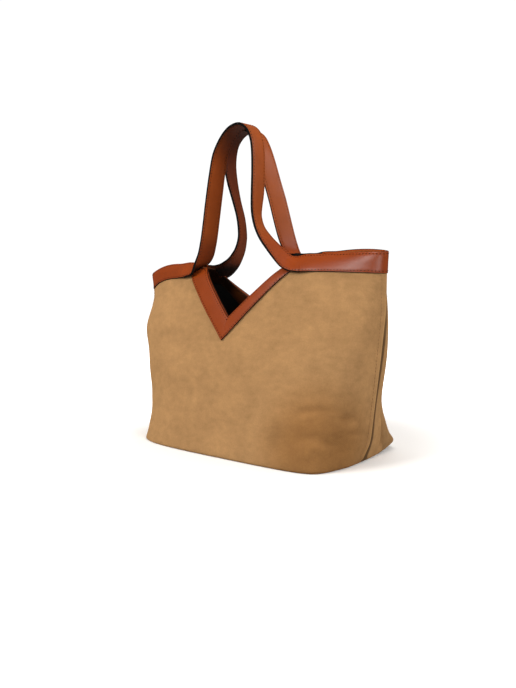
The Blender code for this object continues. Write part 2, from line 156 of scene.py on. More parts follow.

# Where the colour changes over the cloth and the leather, and by how much; much of it is painted shadow,
# painted shade, painted highlight and painted light
# Painted shadow beside the lapped seam on the back panel, painted highlight on the front's folded ridge
SEAM_SHADOW = (0.2826, 0.2866, -0.74)
SEAM_RIDGE_HIGHLIGHT = (0.2985, 0.3008, 0.24)
SEAM_FADE = (0.16, 0.28, 1.0, 0.25)
SEAM_HANDS = (-0.1, 0.1)
SEAM_FAINT = 0.3
# Painted shade on the back panel's pinched fold at its lower corner
EAR_CREASE = (-0.2510, -0.2470)
EAR_ACROSS = (-0.19, -0.13)
EAR_UP = (0.045, 0.085)
EAR_SLANT, EAR_SHADE = 0.20, -0.24
# Painted shade down inside the bag, by height
FACING_SHADE = (0.285, 0.298)
# Painted light up along the straps: heights over which it comes in
STRAP_FADE = (0.310, 0.350)
# Painted shade under the straps' arch
ARCH_SHADE = (0.445, 0.498, 1.0, 0.42)
# Painted sheen on the straps' outer ply, painted light on the front strap's inner ply
STRAP_TONE = (1.27, 1.62, 2.20)
STRAP_INSIDE_TONE = (1.42, 1.55, 1.10)
# Painted shade at the front panel's lower right corner: centre, reach and tone
CORNER_SHADE_PLACE = (0.185, -0.085, 0.030)
CORNER_SHADE_REACH = (0.030, 0.115)
CORNER_SHADE_TONE = (0.74, 0.64, 0.50)
# Painted pool of light on the back V's facing: place, reach and strength
FACING_SPOT = (-0.069, 0.043, 0.238)
FACING_SPOT_REACH = (0.004, 0.030)
FACING_SPOT_LIGHT = 0.65
# Light kept in the deepest painted shade
DEEP_LIGHT = 0.07
CLOTH_ROUGH, FLOOR_ROUGH = 0.92, 0.9
WEAVE_BUMP = (0.5, 0.0004)
GRAIN_BUMP = (0.25, 0.0002)
BLOTCH_STRETCH = (0.62, 1.0, 1.0)
BLOTCH_SCALES = (120.0, 60.0, 18.0)

WIDTH_SHARE = (
    (0.0, 0.845), (0.12, 0.881), (0.22, 0.902), (0.30, 0.914), (0.44, 0.932),
    (0.59, 0.956), (0.75, 0.982), (0.90, 0.992), (1.0, 1.0),
)
DEPTH_SHARE = (
    (0.0, 1.0), (0.12, 0.958), (0.22, 0.905), (0.30, 0.850), (0.44, 0.765), (0.59, 0.640),
    (0.75, 0.535), (0.84, 0.468), (0.90, 0.415), (0.95, 0.330), (1.0, 0.170),
)
OUTLINE_POWER = (
    (0.0, 7.0), (0.12, 5.5), (0.22, 4.5), (0.30, 3.8), (0.44, 3.4),
    (0.59, 3.0), (0.75, 2.4), (0.922, 1.9), (1.0, 2.8),
)
# Outer edge of each strap, as shares of the band end, the foot's depth and the handle's rise, then
# the direction across it. The back strap is written as if it stood in front after half a turn.
FRONT_STRAP_EDGE = (
    (0.930, 0.980, 0.002, -0.01, 0.70, 0.71),
    (0.860, 1.020, 0.012, -0.04, 0.78, 0.62),
    (0.770, 1.060, 0.040, -0.08, 0.86, 0.50),
    (0.656, 1.100, 0.100, -0.09, 0.92, 0.36),
    (0.563, 1.125, 0.156, -0.09, 0.96, 0.24),
    (0.460, 1.128, 0.226, -0.14, 0.98, 0.12),
    (0.379, 1.103, 0.306, -0.26, 0.96, 0.03),
    (0.335, 1.077, 0.379, -0.28, 0.96, 0.00),
    (0.320, 1.050, 0.444, -0.21, 0.98, 0.00),
    (0.310, 0.975, 0.543, -0.10, 0.99, 0.00),
    (0.307, 0.900, 0.670, -0.07, 1.00, 0.00),
    (0.300, 0.850, 0.798, -0.06, 1.00, 0.00),
    (0.270, 0.820, 0.885, -0.04, 1.00, 0.00),
    (0.195, 0.800, 0.953, -0.02, 1.00, 0.00),
    (0.075, 0.795, 0.992, 0.00, 1.00, 0.00),
    (-0.060, 0.795, 0.990, 0.00, 1.00, 0.00),
    (-0.180, 0.800, 0.960, 0.02, 1.00, 0.00),
    (-0.290, 0.815, 0.905, 0.04, 1.00, 0.00),
    (-0.385, 0.845, 0.825, 0.08, 1.00, 0.00),
    (-0.440, 0.900, 0.710, 0.14, 0.99, 0.00),
    (-0.485, 0.955, 0.590, 0.20, 0.98, 0.00),
    (-0.525, 1.000, 0.475, 0.22, 0.98, 0.00),
    (-0.560, 1.035, 0.370, 0.22, 0.98, 0.00),
    (-0.610, 1.065, 0.250, 0.24, 0.97, 0.02),
    (-0.680, 1.075, 0.140, 0.26, 0.95, 0.12),
    (-0.745, 1.070, 0.065, 0.20, 0.91, 0.30),
    (-0.815, 1.040, 0.016, 0.10, 0.84, 0.50),
    (-0.900, 0.995, 0.004, 0.03, 0.72, 0.68),
)

BACK_STRAP_EDGE = (
    (0.924, 0.987, 0.002, -0.01, 0.70, 0.71),
    (0.851, 1.026, 0.011, -0.04, 0.76, 0.65),
    (0.762, 1.064, 0.028, -0.08, 0.82, 0.57),
    (0.673, 1.090, 0.056, -0.11, 0.88, 0.46),
    (0.600, 1.103, 0.088, -0.14, 0.93, 0.34),
    (0.539, 1.115, 0.129, -0.18, 0.95, 0.22),
    (0.486, 1.128, 0.181, -0.24, 0.96, 0.12),
    (0.450, 1.128, 0.241, -0.30, 0.95, 0.05),
    (0.429, 1.108, 0.310, -0.33, 0.94, 0.00),
    (0.442, 1.077, 0.418, -0.34, 0.94, 0.00),
    (0.490, 1.026, 0.543, -0.32, 0.95, 0.00),
    (0.511, 0.936, 0.681, -0.20, 0.98, 0.00),
    (0.506, 0.872, 0.802, -0.12, 0.99, 0.00),
    (0.454, 0.833, 0.901, -0.08, 1.00, 0.00),
    (0.373, 0.815, 0.957, -0.04, 1.00, 0.00),
    (0.259, 0.800, 0.991, -0.02, 1.00, 0.00),
    (0.138, 0.795, 0.998, 0.00, 1.00, 0.00),
    (0.032, 0.795, 0.981, 0.04, 1.00, 0.00),
    (-0.065, 0.800, 0.940, 0.10, 0.99, 0.00),
    (-0.134, 0.826, 0.871, 0.20, 0.98, 0.00),
    (-0.194, 0.867, 0.776, 0.28, 0.96, 0.00),
    (-0.267, 0.928, 0.629, 0.36, 0.93, 0.00),
    (-0.336, 0.987, 0.491, 0.40, 0.92, 0.00),
    (-0.397, 1.038, 0.345, 0.40, 0.92, 0.00),
    (-0.446, 1.072, 0.233, 0.36, 0.93, 0.04),
    (-0.502, 1.090, 0.147, 0.30, 0.94, 0.14),
    (-0.575, 1.097, 0.094, 0.24, 0.92, 0.30),
    (-0.660, 1.090, 0.064, 0.18, 0.88, 0.42),
    (-0.755, 1.064, 0.032, 0.12, 0.82, 0.54),
    (-0.845, 1.026, 0.012, 0.06, 0.76, 0.64),
    (-0.924, 0.987, 0.002, 0.01, 0.70, 0.71),
)

# Soft lean of the standing bag: centre, reach and move, in metres
SAG = (
    ((-0.240, -0.050, 0.190), (0.090, 0.090, 0.034), (-0.0073, -0.0068, 0.0)),
    ((-0.205, -0.100, 0.048), (0.085, 0.080, 0.060), (0.0125, 0.0115, 0.0)),
    ((-0.185, -0.100, 0.010), (0.030, 0.030, 0.020), (0.0025, 0.0010, 0.0)),
    ((0.222, 0.075, 0.071), (0.070, 0.070, 0.070), (-0.0125, -0.0116, 0.0)),
    ((0.204, 0.094, 0.000), (0.0137, 0.042, 0.030), (0.0, 0.0, 0.0085)),
    ((0.200, 0.100, 0.008), (0.018, 0.024, 0.0085), (0.0056, 0.0011, 0.0)),
    ((0.205, -0.080, 0.030), (0.030, 0.030, 0.060), (-0.0070, -0.0010, 0.0)),
    ((0.000, -0.108, 0.000), (0.240, 0.040, 0.030), (0.0, -0.0040, 0.0)),
    ((-0.205, 0.075, 0.060), (0.060, 0.060, 0.050), (0.0100, -0.0090, 0.0)),
    ((-0.250, 0.000, 0.280), (0.032, 0.100, 0.050), (-0.0035, 0.0, -0.0075)),
    ((-0.175, -0.030, 0.292), (0.040, 0.050, 0.040), (0.0, 0.0, 0.0035)),
    ((0.115, -0.035, 0.295), (0.028, 0.030, 0.030), (0.0, 0.0, -0.0035)),
    ((0.190, 0.035, 0.290), (0.075, 0.036, 0.050), (0.0, 0.0, 0.0065)),
    ((0.200, -0.030, 0.292), (0.050, 0.026, 0.030), (0.0, 0.0, -0.0022)),
    ((0.226, 0.000, 0.105), (0.040, 0.040, 0.060), (0.0, 0.0035, 0.0)),
    ((0.207, 0.000, 0.000), (0.030, 0.030, 0.020), (0.0, -0.0160, 0.0)),
    ((-0.0765, 0.047, 0.309), (0.044, 0.034, 0.045), (-0.0070, 0.0020, -0.0184)),
    ((-0.0583, 0.047, 0.228), (0.0735, 0.034, 0.0566), (-0.0077, 0.0020, -0.0152)),
)

# Camera: turn about the bag, distance, height, aim and focal length
CAMERA_TURN, CAMERA_FAR, CAMERA_HEIGHT = 0.747, 1.041, 0.2457
CAMERA_YAW, CAMERA_PITCH, CAMERA_ROLL = -0.0032, -0.0812, -0.0376
FOCAL_PIXELS, IMAGE_HEIGHT, SENSOR = 647.1, 688.0, 36.0

# Lights: name, place, aim, size, power and colour
WHITE = (1, 1, 1)
SOFT_LIGHTS = (
    ("key_light", (-1.3, -2.2, 1.8), (0, 0, 0.2), (1.6, 1.6), 66, (1, 0.99, 0.97)),
    ("side_light", (2.3, -0.5, 1.3), (0, 0, 0.25), (0.8, 1.4), 26, WHITE),
    ("fill_light", (2.0, 1.2, 1.0), (0.1, 0, 0.15), (1.2, 1.2), 9, WHITE),
    ("top_light", (0.0, 0.4, 2.4), (0, 0, 0.2), (2.0, 2.0), 24, WHITE),
)
GLEAM_LIGHTS = (
    ("front_gleam", (0.04, -2.14, 1.14), (0.2, 0, 0.28), (0.20, 0.34), 36, WHITE),
    ("side_gleam", (1.44, -1.48, 0.24), (0.2, 0, 0.28), (0.14, 0.36), 14, WHITE),
    ("strap_gleam", (1.60, 0.80, 1.38), (0, 0, 0.40), (0.4, 0.6), 7, WHITE),
)
WORLD_LIGHT, WORLD_MIRRORED, WORLD_SEEN = 0.30, 0.07, 1.05
FLOOR_TONE = (0.93, 0.93, 0.93)
FLOOR_LIT = (0.34, 0.32, 0.30, 1)
FLOOR_SEEN = (0.97, 0.945, 0.91, 1)
FLOOR_FADE = (0.22, 0.50)
FLOOR_GLOW = 0.10

stitch_paths = {}


# Wall shape


def smooth_table(table, at):
    """Values of a table along a smooth curve that never swings past its points."""
    xs, ys = np.array(table, float).T
    at = np.clip(np.asarray(at, float), xs[0], xs[-1])
    steps = np.diff(xs)
    slopes = np.diff(ys) / steps
    tangents = np.zeros(len(xs))
    tangents[0], tangents[-1] = slopes[0], slopes[-1]
    a, b = slopes[:-1], slopes[1:]
    same = a * b > 0
    tangents[1:-1][same] = 2 * a[same] * b[same] / (a[same] + b[same])
    i = np.clip(np.searchsorted(xs, at, side="right") - 1, 0, len(xs) - 2)
    t = (at - xs[i]) / steps[i]
    return (
        (2 * t ** 3 - 3 * t ** 2 + 1) * ys[i]
        + (t ** 3 - 2 * t ** 2 + t) * steps[i] * tangents[i]
        + (-2 * t ** 3 + 3 * t ** 2) * ys[i + 1]
        + (t ** 3 - t ** 2) * steps[i] * tangents[i + 1]
    )


def outline_at(z):
    """Half width, half depth and power of the outline at heights."""
    share = np.clip(np.asarray(z, float) / RIM, 0, 1)
    return (
        HALF_WIDTH * smooth_table(WIDTH_SHARE, share),
        HALF_DEPTH * smooth_table(DEPTH_SHARE, share),
        smooth_table(OUTLINE_POWER, share),
    )


def wall_store():
    """Front half of the outline at many heights, by share of the way round."""
    width, depth, power = (q[:, None] for q in outline_at(np.linspace(0, RIM, LEVELS)))
    angle = np.linspace(0, math.pi, 2 * SHARES - 1)[None, :]
    c, s = np.cos(angle), np.clip(np.sin(angle), 0, None)
    reach = ((np.abs(c) / width) ** power + (s / depth) ** power) ** (-1 / power)
    px, py = reach * c, -reach * s
    run = np.hypot(np.diff(px, axis=1), np.diff(py, axis=1)).cumsum(axis=1)
    run = np.concatenate([np.zeros((LEVELS, 1)), run], axis=1)
    shares = np.linspace(0, 1, SHARES)
    xs = np.array([np.interp(shares * r[-1], r, q) for r, q in zip(run, px)])
    ys = np.array([np.interp(shares * r[-1], r, q) for r, q in zip(run, py)])
    return xs, ys, run[:, -1]


WALL_X, WALL_Y, WALL_RUN = wall_store()


def wall_run(z):
    """Length of the front wall round from seam to seam at heights."""
    return np.interp(z, np.linspace(0, RIM, LEVELS), WALL_RUN)


def wall_xy(s, z):
    """Points of the front wall at shares round from the right seam; past a seam it goes on round."""
    s, z = np.broadcast_arrays(np.asarray(s, float), np.asarray(z, float))
    over = np.where(s < 0, -1.0, np.where(s > 1, -1.0, 1.0))
    s = np.where(s < 0, -s, np.where(s > 1, 2 - s, s))
    fz = np.clip(z / RIM, 0, 1) * (LEVELS - 1)
    fs = s * (SHARES - 1)
    i = np.minimum(fz.astype(int), LEVELS - 2)
    j = np.minimum(fs.astype(int), SHARES - 2)
    a, b = fz - i, fs - j

    def read(grid):
        low = grid[i, j] * (1 - b) + grid[i, j + 1] * b
        high = grid[i + 1, j] * (1 - b) + grid[i + 1, j + 1] * b
        return low * (1 - a) + high * a

    return read(WALL_X), read(WALL_Y) * over


def outward(x, y, z):
    """Unit directions square to the wall."""
    nudge = 0.00003
    z = np.minimum(z, RIM - nudge)

    def level(px, py, pz):
        width, depth, power = outline_at(pz)
        return (np.abs(px) / width) ** power + (np.abs(py) / depth) ** power

    n = np.stack([
        level(x + nudge, y, z) - level(x - nudge, y, z),
        level(x, y + nudge, z) - level(x, y - nudge, z),
        np.where(z > nudge, level(x, y, z + nudge) - level(x, y, z - nudge), 0.0),
    ], axis=-1)
    return n / np.linalg.norm(n, axis=-1, keepdims=True)


def front_y(x, z):
    """Front wall's place in depth at places across it."""
    width, depth, power = outline_at(z)
    inside = np.clip(1 - (np.abs(x) / width) ** power, 0, None)
    return -depth * inside ** (1 / power)


def last_place(low, high, holds, halvings):
    """Place between two at which a test that holds at the low one stops holding."""
    for _ in range(halvings):
        mid = (low + high) / 2
        if holds(mid):
            low = mid
        else:
            high = mid
    return (low + high) / 2


def share_at(x, z):
    """Share of the way round at which the wall reaches x."""
    return last_place(0.0, 0.5, lambda s: float(wall_xy(s, z)[0]) > x, halvings=40)


def band_low(x):
    """Height of the band's lower edge at places across."""
    return BAND_LOW - BAND_SIDE_DROP * (np.abs(x) / HALF_WIDTH) ** 4


def band_high(x):
    """Height of the rim at places across."""
    return RIM - SIDE_RIM_DROP * (np.abs(x) / HALF_WIDTH) ** 6


def notch_line(x, side):
    """Height of the cloth's cut edge beside and inside the V."""
    foot, lean = BAND_LOW + SHOULDER_TUCK, V_INNER_LEAN if side == "front" else 0.0
    tip = V_INNER_TIP_LEAN if side == "front" else 0.0
    rim = float(band_high(PANEL_SLOPE))
    return float(np.interp(
        x,
        [-PANEL_SLOPE, -BAND_END, -V_OUTER_END, lean - V_INNER_END, tip,
         lean + V_INNER_END, V_OUTER_END, BAND_END, PANEL_SLOPE],
        [rim, foot, foot, V_INNER_TOP, V_INNER_TIP, V_INNER_TOP, foot, foot, rim],
    ))


def column_top(s, side):
    """Height of the cloth's edge on one column, and of the row where it starts to follow that edge."""
    x_low = float(wall_xy(s, BAND_LOW)[0])
    if abs(x_low) >= PANEL_SLOPE:
        return float(band_low(x_low)), float(band_high(wall_xy(s, RIM)[0]))
    edge = last_place(V_INNER_TIP / 2, RIM, lambda z: notch_line(float(wall_xy(s, z)[0]), side) > z,
                      halvings=30)
    return min(edge - EDGE_FOLLOW, float(band_low(x_low))), edge


# Soft relief of the cloth


def bump_at(p, z, row):
    """Height of one soft fold at a place."""
    p0, z0, angle, length, width, depth = row
    c, s = math.cos(math.radians(angle)), math.sin(math.radians(angle))
    along = (p - p0) * c + (z - z0) * s
    side = -(p - p0) * s + (z - z0) * c
    return depth * np.exp(-(along / length) ** 2 - (side / width) ** 2)


# Folds: place across, height, angle, half length, half width, depth. They fade out near the band and
# the floor.
FOLD_CLEAR = 0.012
FADE_HIGH, FADE_LOW = 0.04, 0.002
FRONT_FOLDS = (
    (0.172, 0.079, 12, 0.018, 0.0040, -0.0018),
    (0.200, 0.082, 0, 0.020, 0.0045, -0.0024),
    (0.190, 0.090, 4, 0.030, 0.0080, 0.0012),
    (0.246, 0.069, -6, 0.012, 0.0060, -0.0030),
    (0.228, 0.073, -20, 0.016, 0.0050, -0.0016),
    (0.178, 0.046, 14, 0.018, 0.0060, -0.0024),
    (0.207, 0.043, -24, 0.018, 0.0060, -0.0026),
    (0.190, 0.030, 30, 0.020, 0.0090, 0.0014),
    (0.255, 0.048, -11, 0.022, 0.0030, -0.0014),
    (0.240, 0.056, 0, 0.026, 0.0060, 0.0014),
    (0.150, 0.064, 12, 0.050, 0.0100, 0.0010),
    (0.235, 0.024, 16, 0.030, 0.0080, -0.0014),
    (0.262, 0.110, 70, 0.040, 0.0100, -0.0018),
    (0.264, 0.236, -54, 0.014, 0.0040, -0.0016),
    (0.255, 0.232, -54, 0.018, 0.0050, 0.0014),
    (0.238, 0.214, -40, 0.012, 0.0070, 0.0014),
    (0.225, 0.176, 60, 0.040, 0.0120, -0.0012),
    (-0.060, 0.110, 80, 0.060, 0.0180, -0.0014),
    (-0.160, 0.130, 74, 0.070, 0.0200, -0.0016),
    (-0.110, 0.060, 40, 0.050, 0.0160, -0.0012),
    (-0.210, 0.060, 84, 0.050, 0.0140, -0.0018),
    (0.020, 0.050, 12, 0.070, 0.0160, -0.0012),
    (0.080, 0.140, 70, 0.060, 0.0220, -0.0014),
    (-0.020, 0.150, -62, 0.040, 0.0120, 0.0010),
    (0.110, 0.225, 40, 0.030, 0.0120, -0.0010),
)
BACK_FOLDS = (
    (-0.255, 0.026, 78, 0.034, 0.0032, -0.0050),
    (-0.264, 0.030, 80, 0.034, 0.0045, 0.0024),
    (-0.238, 0.024, 70, 0.026, 0.0090, 0.0024),
    (0.140, 0.060, -10, 0.050, 0.0080, -0.0016),
    (-0.120, 0.080, 14, 0.060, 0.0120, -0.0014),
    (-0.215, 0.120, 82, 0.060, 0.0140, -0.0018),
    (0.215, 0.120, -80, 0.060, 0.0140, -0.0016),
    (0.010, 0.120, 66, 0.060, 0.0200, -0.0012),
    (-0.070, 0.200, -40, 0.040, 0.0140, -0.0010),
    (0.090, 0.190, 50, 0.050, 0.0160, -0.0012),
    (-0.020, 0.040, 6, 0.080, 0.0140, -0.0012),
)


def relief(side, s, z):
    """How far the wall stands in or out of its plain shape at a place."""
    p = (0.5 - s) * PANEL_RUN
    out = np.zeros_like(p * z)
    for row in FRONT_FOLDS if side == "front" else BACK_FOLDS:
        out = out + bump_at(p, z, row)
    fade = np.clip((BAND_LOW - FOLD_CLEAR - z) / FADE_HIGH, 0, 1)
    return out * (fade * np.clip((z - FADE_LOW) / FOLD_CLEAR, 0, 1))


def seam_relief(side, s, z):
    """The folded edge of the front panel over the back one at the side seams, out of the wall."""
    gap = np.minimum(s, 1 - s) * wall_run(z)
    low = 1 - LAP_FADE_BY * np.clip((z - LAP_FADE_FROM) / LAP_FADE_OVER, 0, 1)
    if side == "front":
        fold = LAP_FOLD * (1 - np.clip((gap - LAP_FOLD_WIDE) / LAP_FOLD_EASE, 0, 1))
        row = -LAP_DENT * np.exp(-((gap - LAP_STITCH) / LAP_DENT_WIDE) ** 2)
        lip = LAP_LIP * np.exp(-((gap - LAP_LIP_AT) / LAP_LIP_WIDE) ** 2)
        return fold + row + lip * low * np.where(s < 0.5, 1.0, LAP_LIP_FAINT)
    groove = LAP_GROOVE * low * np.where(s < 0.5, LAP_GROOVE_FAINT, 1.0)
    groove = groove * np.exp(-(gap / LAP_GROOVE_WIDE) ** 2)
    return -LAP_UNDER - groove + LAP_UNDER * np.clip((gap - LAP_UNDER_FROM) / LAP_UNDER_OVER, 0, 1)


def sag(p):
    """Points of the plain wall moved to where the soft bag stands."""
    moved = p.copy()
    for centre, reach, move in SAG:
        near = np.exp(-(((p - centre) / reach) ** 2).sum(-1))
        moved += near[..., None] * np.array(move)
    return moved


def turned(side, p, n):
    """Points and directions of the front, turned half round for the back."""
    way = (1, 1, 1) if side == "front" else (-1, -1, 1)
    return p * way, n * way


def placed(side, p, n, one_side=True):
    """Front wall points put on their side of the bag and sagged with it."""
    if one_side:
        p[..., 1] = np.minimum(p[..., 1], -SEAM_AIR)
    p, n = turned(side, p, n)
    return sag(p), n


def moved_out(side, x, y, z, far, one_side=True):
    """Wall points moved outward and put on their side of the bag, and the way out there."""
    n = outward(x, y, z)
    p = np.stack(np.broadcast_arrays(x, y, z), axis=-1) + n * np.asarray(far)[..., None]
    return placed(side, p, n, one_side)


def wall_point(side, s, z, offset, cloth=False):
    """Points of one side's wall by their share of the way round, moved outward."""
    far = offset + relief(side, s, z)
    if cloth:
        far = far + seam_relief(side, s, z)
    return moved_out(side, *wall_xy(s, z), z, far, not (cloth and side == "front"))


def face_point(side, x, z, offset):
    """Points of one side's wall by their place across, moved outward."""
    return moved_out(side, x, front_y(x, z), z, offset)


# Meshes


def add_object(name, data):
    """A new object in the scene."""
    obj = bpy.data.objects.new(name, data)
    bpy.context.scene.collection.objects.link(obj)
    return obj


def add_mesh(name, verts, faces, uvs, materials, sharp, slots=None):
    """One finished piece from arrays, smooth but for its sharp edges."""
    mesh = bpy.data.meshes.new(name)
    mesh.from_pydata(verts.reshape(-1, 3).tolist(), [], faces)
    layer = mesh.uv_layers.new(name="Surface")
    layer.data.foreach_set("uv", np.asarray(uvs, np.float32).ravel())
    for material in materials:
        mesh.materials.append(material)
    if slots is not None:
        mesh.polygons.foreach_set("material_index", slots)
    mesh.update()
    mesh.calc_loop_triangles()
    volume = 0.0
    for tri in mesh.loop_triangles:
        a, b, c = (mesh.vertices[i].co for i in tri.vertices)
        volume += a.dot(b.cross(c))
    if volume < 0:
        mesh.flip_normals()
    mesh.shade_smooth()
    mesh.set_sharp_from_angle(angle=math.radians(sharp))
    return add_object(name, mesh)


def grid_solid(name, outer, inner, uv, material):
    """Closed sheet between two grids of points."""
    rows, cols = outer.shape[:2]
    index = np.arange(rows * cols).reshape(rows, cols)
    a, b = index[:-1, :-1].ravel(), index[:-1, 1:].ravel()
    c, d = index[1:, 1:].ravel(), index[1:, :-1].ravel()
    count = rows * cols
    faces = np.concatenate([
        np.stack([a, b, c, d], 1),
        np.stack([a + count, d + count, c + count, b + count], 1),
    ])
    border = np.concatenate([index[0, :], index[1:, -1], index[-1, -2::-1], index[-2:0:-1, 0]])
    after = np.roll(border, -1)
    rim = np.stack([after, border, border + count, after + count], 1)
    faces = np.concatenate([faces, rim])
    verts = np.concatenate([outer.reshape(-1, 3), inner.reshape(-1, 3)])
    flat = np.concatenate([uv.reshape(-1, 2), uv.reshape(-1, 2)])
    return add_mesh(name, verts, faces.tolist(), flat[faces.ravel()], [material], PANEL_SHARP)


def loft(name, rings, along, around, slots, materials):
    """Closed strip from rings of points, with a material slot for each side of the ring."""
    count, size = rings.shape[:2]
    index = np.arange(count * size).reshape(count, size)
    after = np.roll(index, -1, axis=1)
    quads = np.stack([index[:-1], after[:-1], after[1:], index[1:]], -1).reshape(-1, 4)
    lap = np.append(around, around[-1] + RING_CLOSE)
    uv = np.empty((count - 1, size, 4, 2))
    uv[..., :2, 0], uv[..., 2:, 0] = along[:-1, None, None], along[1:, None, None]
    uv[..., ::3, 1], uv[..., 1:3, 1] = lap[None, :-1, None], lap[None, 1:, None]
    faces = quads.tolist() + [index[0, ::-1].tolist(), index[-1].tolist()]
    caps = np.concatenate([
        np.stack([np.full(size, along[0]), around[::-1]], -1),
        np.stack([np.full(size, along[-1]), around], -1),
    ])
    uvs = np.concatenate([uv.reshape(-1, 2), caps])
    kinds = np.concatenate([np.tile(slots, count - 1), [0, 0]]).astype(np.int32)
    return add_mesh(name, rings, faces, uvs, materials, STRIP_SHARP, kinds)


def strip_profile(low, high, width, lip=None, painted=4):
    """Ring of a leather strip: share across, place from that edge, offset out, and the painted sides.

    A lip turns the upper edge in over the cloth, down to its own offset.
    """
    up = 1 if high > low else -1
    half = [
        (0.0, low + up * UNDER_ROUND),
        (-EDGE_BULGE, (low + high) / 2),
        (0.0, high - up * EDGE_ROUND),
        (EDGE_ROUND * 0.35, high - up * EDGE_ROUND * 0.25),
        (EDGE_ROUND, high),
        (EDGE_CREASE - CREASE_HALF, high + up * CREASE_LIFT),
        (EDGE_CREASE, high - up * CREASE_DEEP),
        (EDGE_CREASE + CREASE_HALF, high + up * CREASE_LIFT),
        (width * 0.22, high + up * CROWN * 0.7),
    ]
    paint = [1] * painted + [0] * (len(half) - painted)
    rows = [(0, inset, offset, slot) for (inset, offset), slot in zip(half, paint)]
    rows.append((0.5, 0.0, high + up * CROWN, 0))
    rows += [(1, -inset, offset, slot) for (inset, offset), slot in zip(reversed(half), paint[::-1])]
    if lip is not None:
        rows[-1] = (*rows[-1][:3], 0)
        rows += [(1, -LIP_AIR, lip, 0), (1, -LIP, lip, 0), (1, -LIP, low - up * LIP_STEP, 0)]
    rows += [(1, -LIP - UNDER_INSET, low, 1), (0.5, 0.0, low, 1), (0, UNDER_INSET, low, 1)]
    share, inset, offset, slot = np.array(rows).T
    around = run_of(np.stack([share * width + inset, offset], -1))
    return share, inset, offset, slot.astype(int), around


def run_of(points):
    """Distance along a row of points."""
    steps = np.linalg.norm(np.diff(points, axis=0), axis=1)
    return np.concatenate([[0], np.cumsum(steps)])


def lay_stitches(group, points, normals):
    """Keep a row of stitches for the sewing step."""
    stitch_paths.setdefault(group, []).append((np.asarray(points), np.asarray(normals)))


# Cloth


def level_outward(x, y, z):
    """Unit directions square to the wall and level."""
    n = outward(x, y, np.full_like(x, z))
    n[..., 2] = 0
    return n / np.linalg.norm(n, axis=-1, keepdims=True)


def cloth_grid(side, offset, floor_z, setback, columns, lapped):
    """Rows of points over half the floor, the rounded lower edge and one wall, with flat places."""
    s = np.linspace(0, 1, columns)
    low, top = np.array([column_top(share, side) for share in s]).T
    over = lapped and side == "front"
    if over:
        s[0], s[-1] = -LAP_SHARE, 1 + LAP_SHARE
    rows, flat = [], []
    base = np.clip(s, 0, 1)
    x, y = wall_xy(base, floor_z)
    n = level_outward(x, y, 0.0)
    edge_x, edge_y = (q - n[:, k] * (BASE_ROUND - offset) for k, q in enumerate((x, y)))
    middle = (1 - 2 * base) * (float(outline_at(0.0)[0]) - 2 * BASE_ROUND)
    for k in range(FLOOR_ROWS):
        t = k / FLOOR_ROWS
        px = middle + (edge_x - middle) * t
        q = np.stack([px, edge_y * t, np.full_like(px, floor_z)], -1)
        rows.append(placed(side, q, n)[0])
        flat.append(-FLOOR_FLAT * (1 - t))
    for k in range(CORNER_ROWS):
        turn = math.pi / 2 * k / (CORNER_ROWS - 1)
        z = floor_z + BASE_ROUND * (1 - math.cos(turn))
        inset = BASE_ROUND * (1 - math.sin(turn)) - offset
        x, y = wall_xy(s, z)
        n = level_outward(x, y, z)
        q = np.stack([x - n[:, 0] * inset, y - n[:, 1] * inset, np.full_like(x, z)], -1)
        rows.append(placed(side, q, n, not over)[0])
        flat.append(z)
    bottom = floor_z + BASE_ROUND
    heights = [bottom + (low - bottom) * k / WALL_ROWS for k in range(1, WALL_ROWS + 1)]
    heights += [low + (top - setback - low) * k / RIM_ROWS for k in range(1, RIM_ROWS + 1)]
    rows += [wall_point(side, s, z, offset, lapped)[0] for z in heights]
    v = np.array([np.broadcast_to(z, (columns,)) for z in flat + heights])
    u = np.broadcast_to((0.5 - s) * PANEL_RUN, v.shape)
    return np.array(rows), np.stack([u, v], -1)


def make_cloth(side, material):
    """Canvas of one side, and the stitches of its side seams on the front."""
    outer, uv = cloth_grid(side, 0.0, 0.0, EDGE_SETBACK, PANEL_COLUMNS, True)
    inner, _ = cloth_grid(side, -CLOTH, CLOTH, EDGE_SETBACK, PANEL_COLUMNS, True)
    piece = grid_solid(side + "_cloth_panel", outer, inner, uv, material)
    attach(piece, "bag")
    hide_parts(side + "_panel")
    if side == "front":
        z = np.linspace(LAP_SEWN_FROM, BAND_LOW - LAP_SEWN_FROM, SEAM_POINTS)
        s = LAP_STITCH / wall_run(z)
        for share in (s, 1 - s):
            lay_stitches("cloth", *wall_point(side, share, z, LAP_THREAD_OUT, True))


def make_lining(side, material):
    """Lining of one side, a little inside the canvas and over the board."""
    out = -(CLOTH + LINING_GAP)
    floor_z = CLOTH + INSIDE_GAP + BOARD
    outer, uv = cloth_grid(side, out, floor_z, LINING_SETBACK, LINING_COLUMNS, False)
    inner, _ = cloth_grid(side, out - LINING, floor_z + LINING, LINING_SETBACK, LINING_COLUMNS, False)
    piece = grid_solid(side + "_lining_cloth", outer, inner, uv, material)
    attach(piece, "bag")
    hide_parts(side + "_lining")


# Leather bands, V trims and facings


def ease(t):
    """Share of a way with a soft start and end."""
    t = np.clip(t, 0, 1)
    return t * t * (3 - 2 * t)


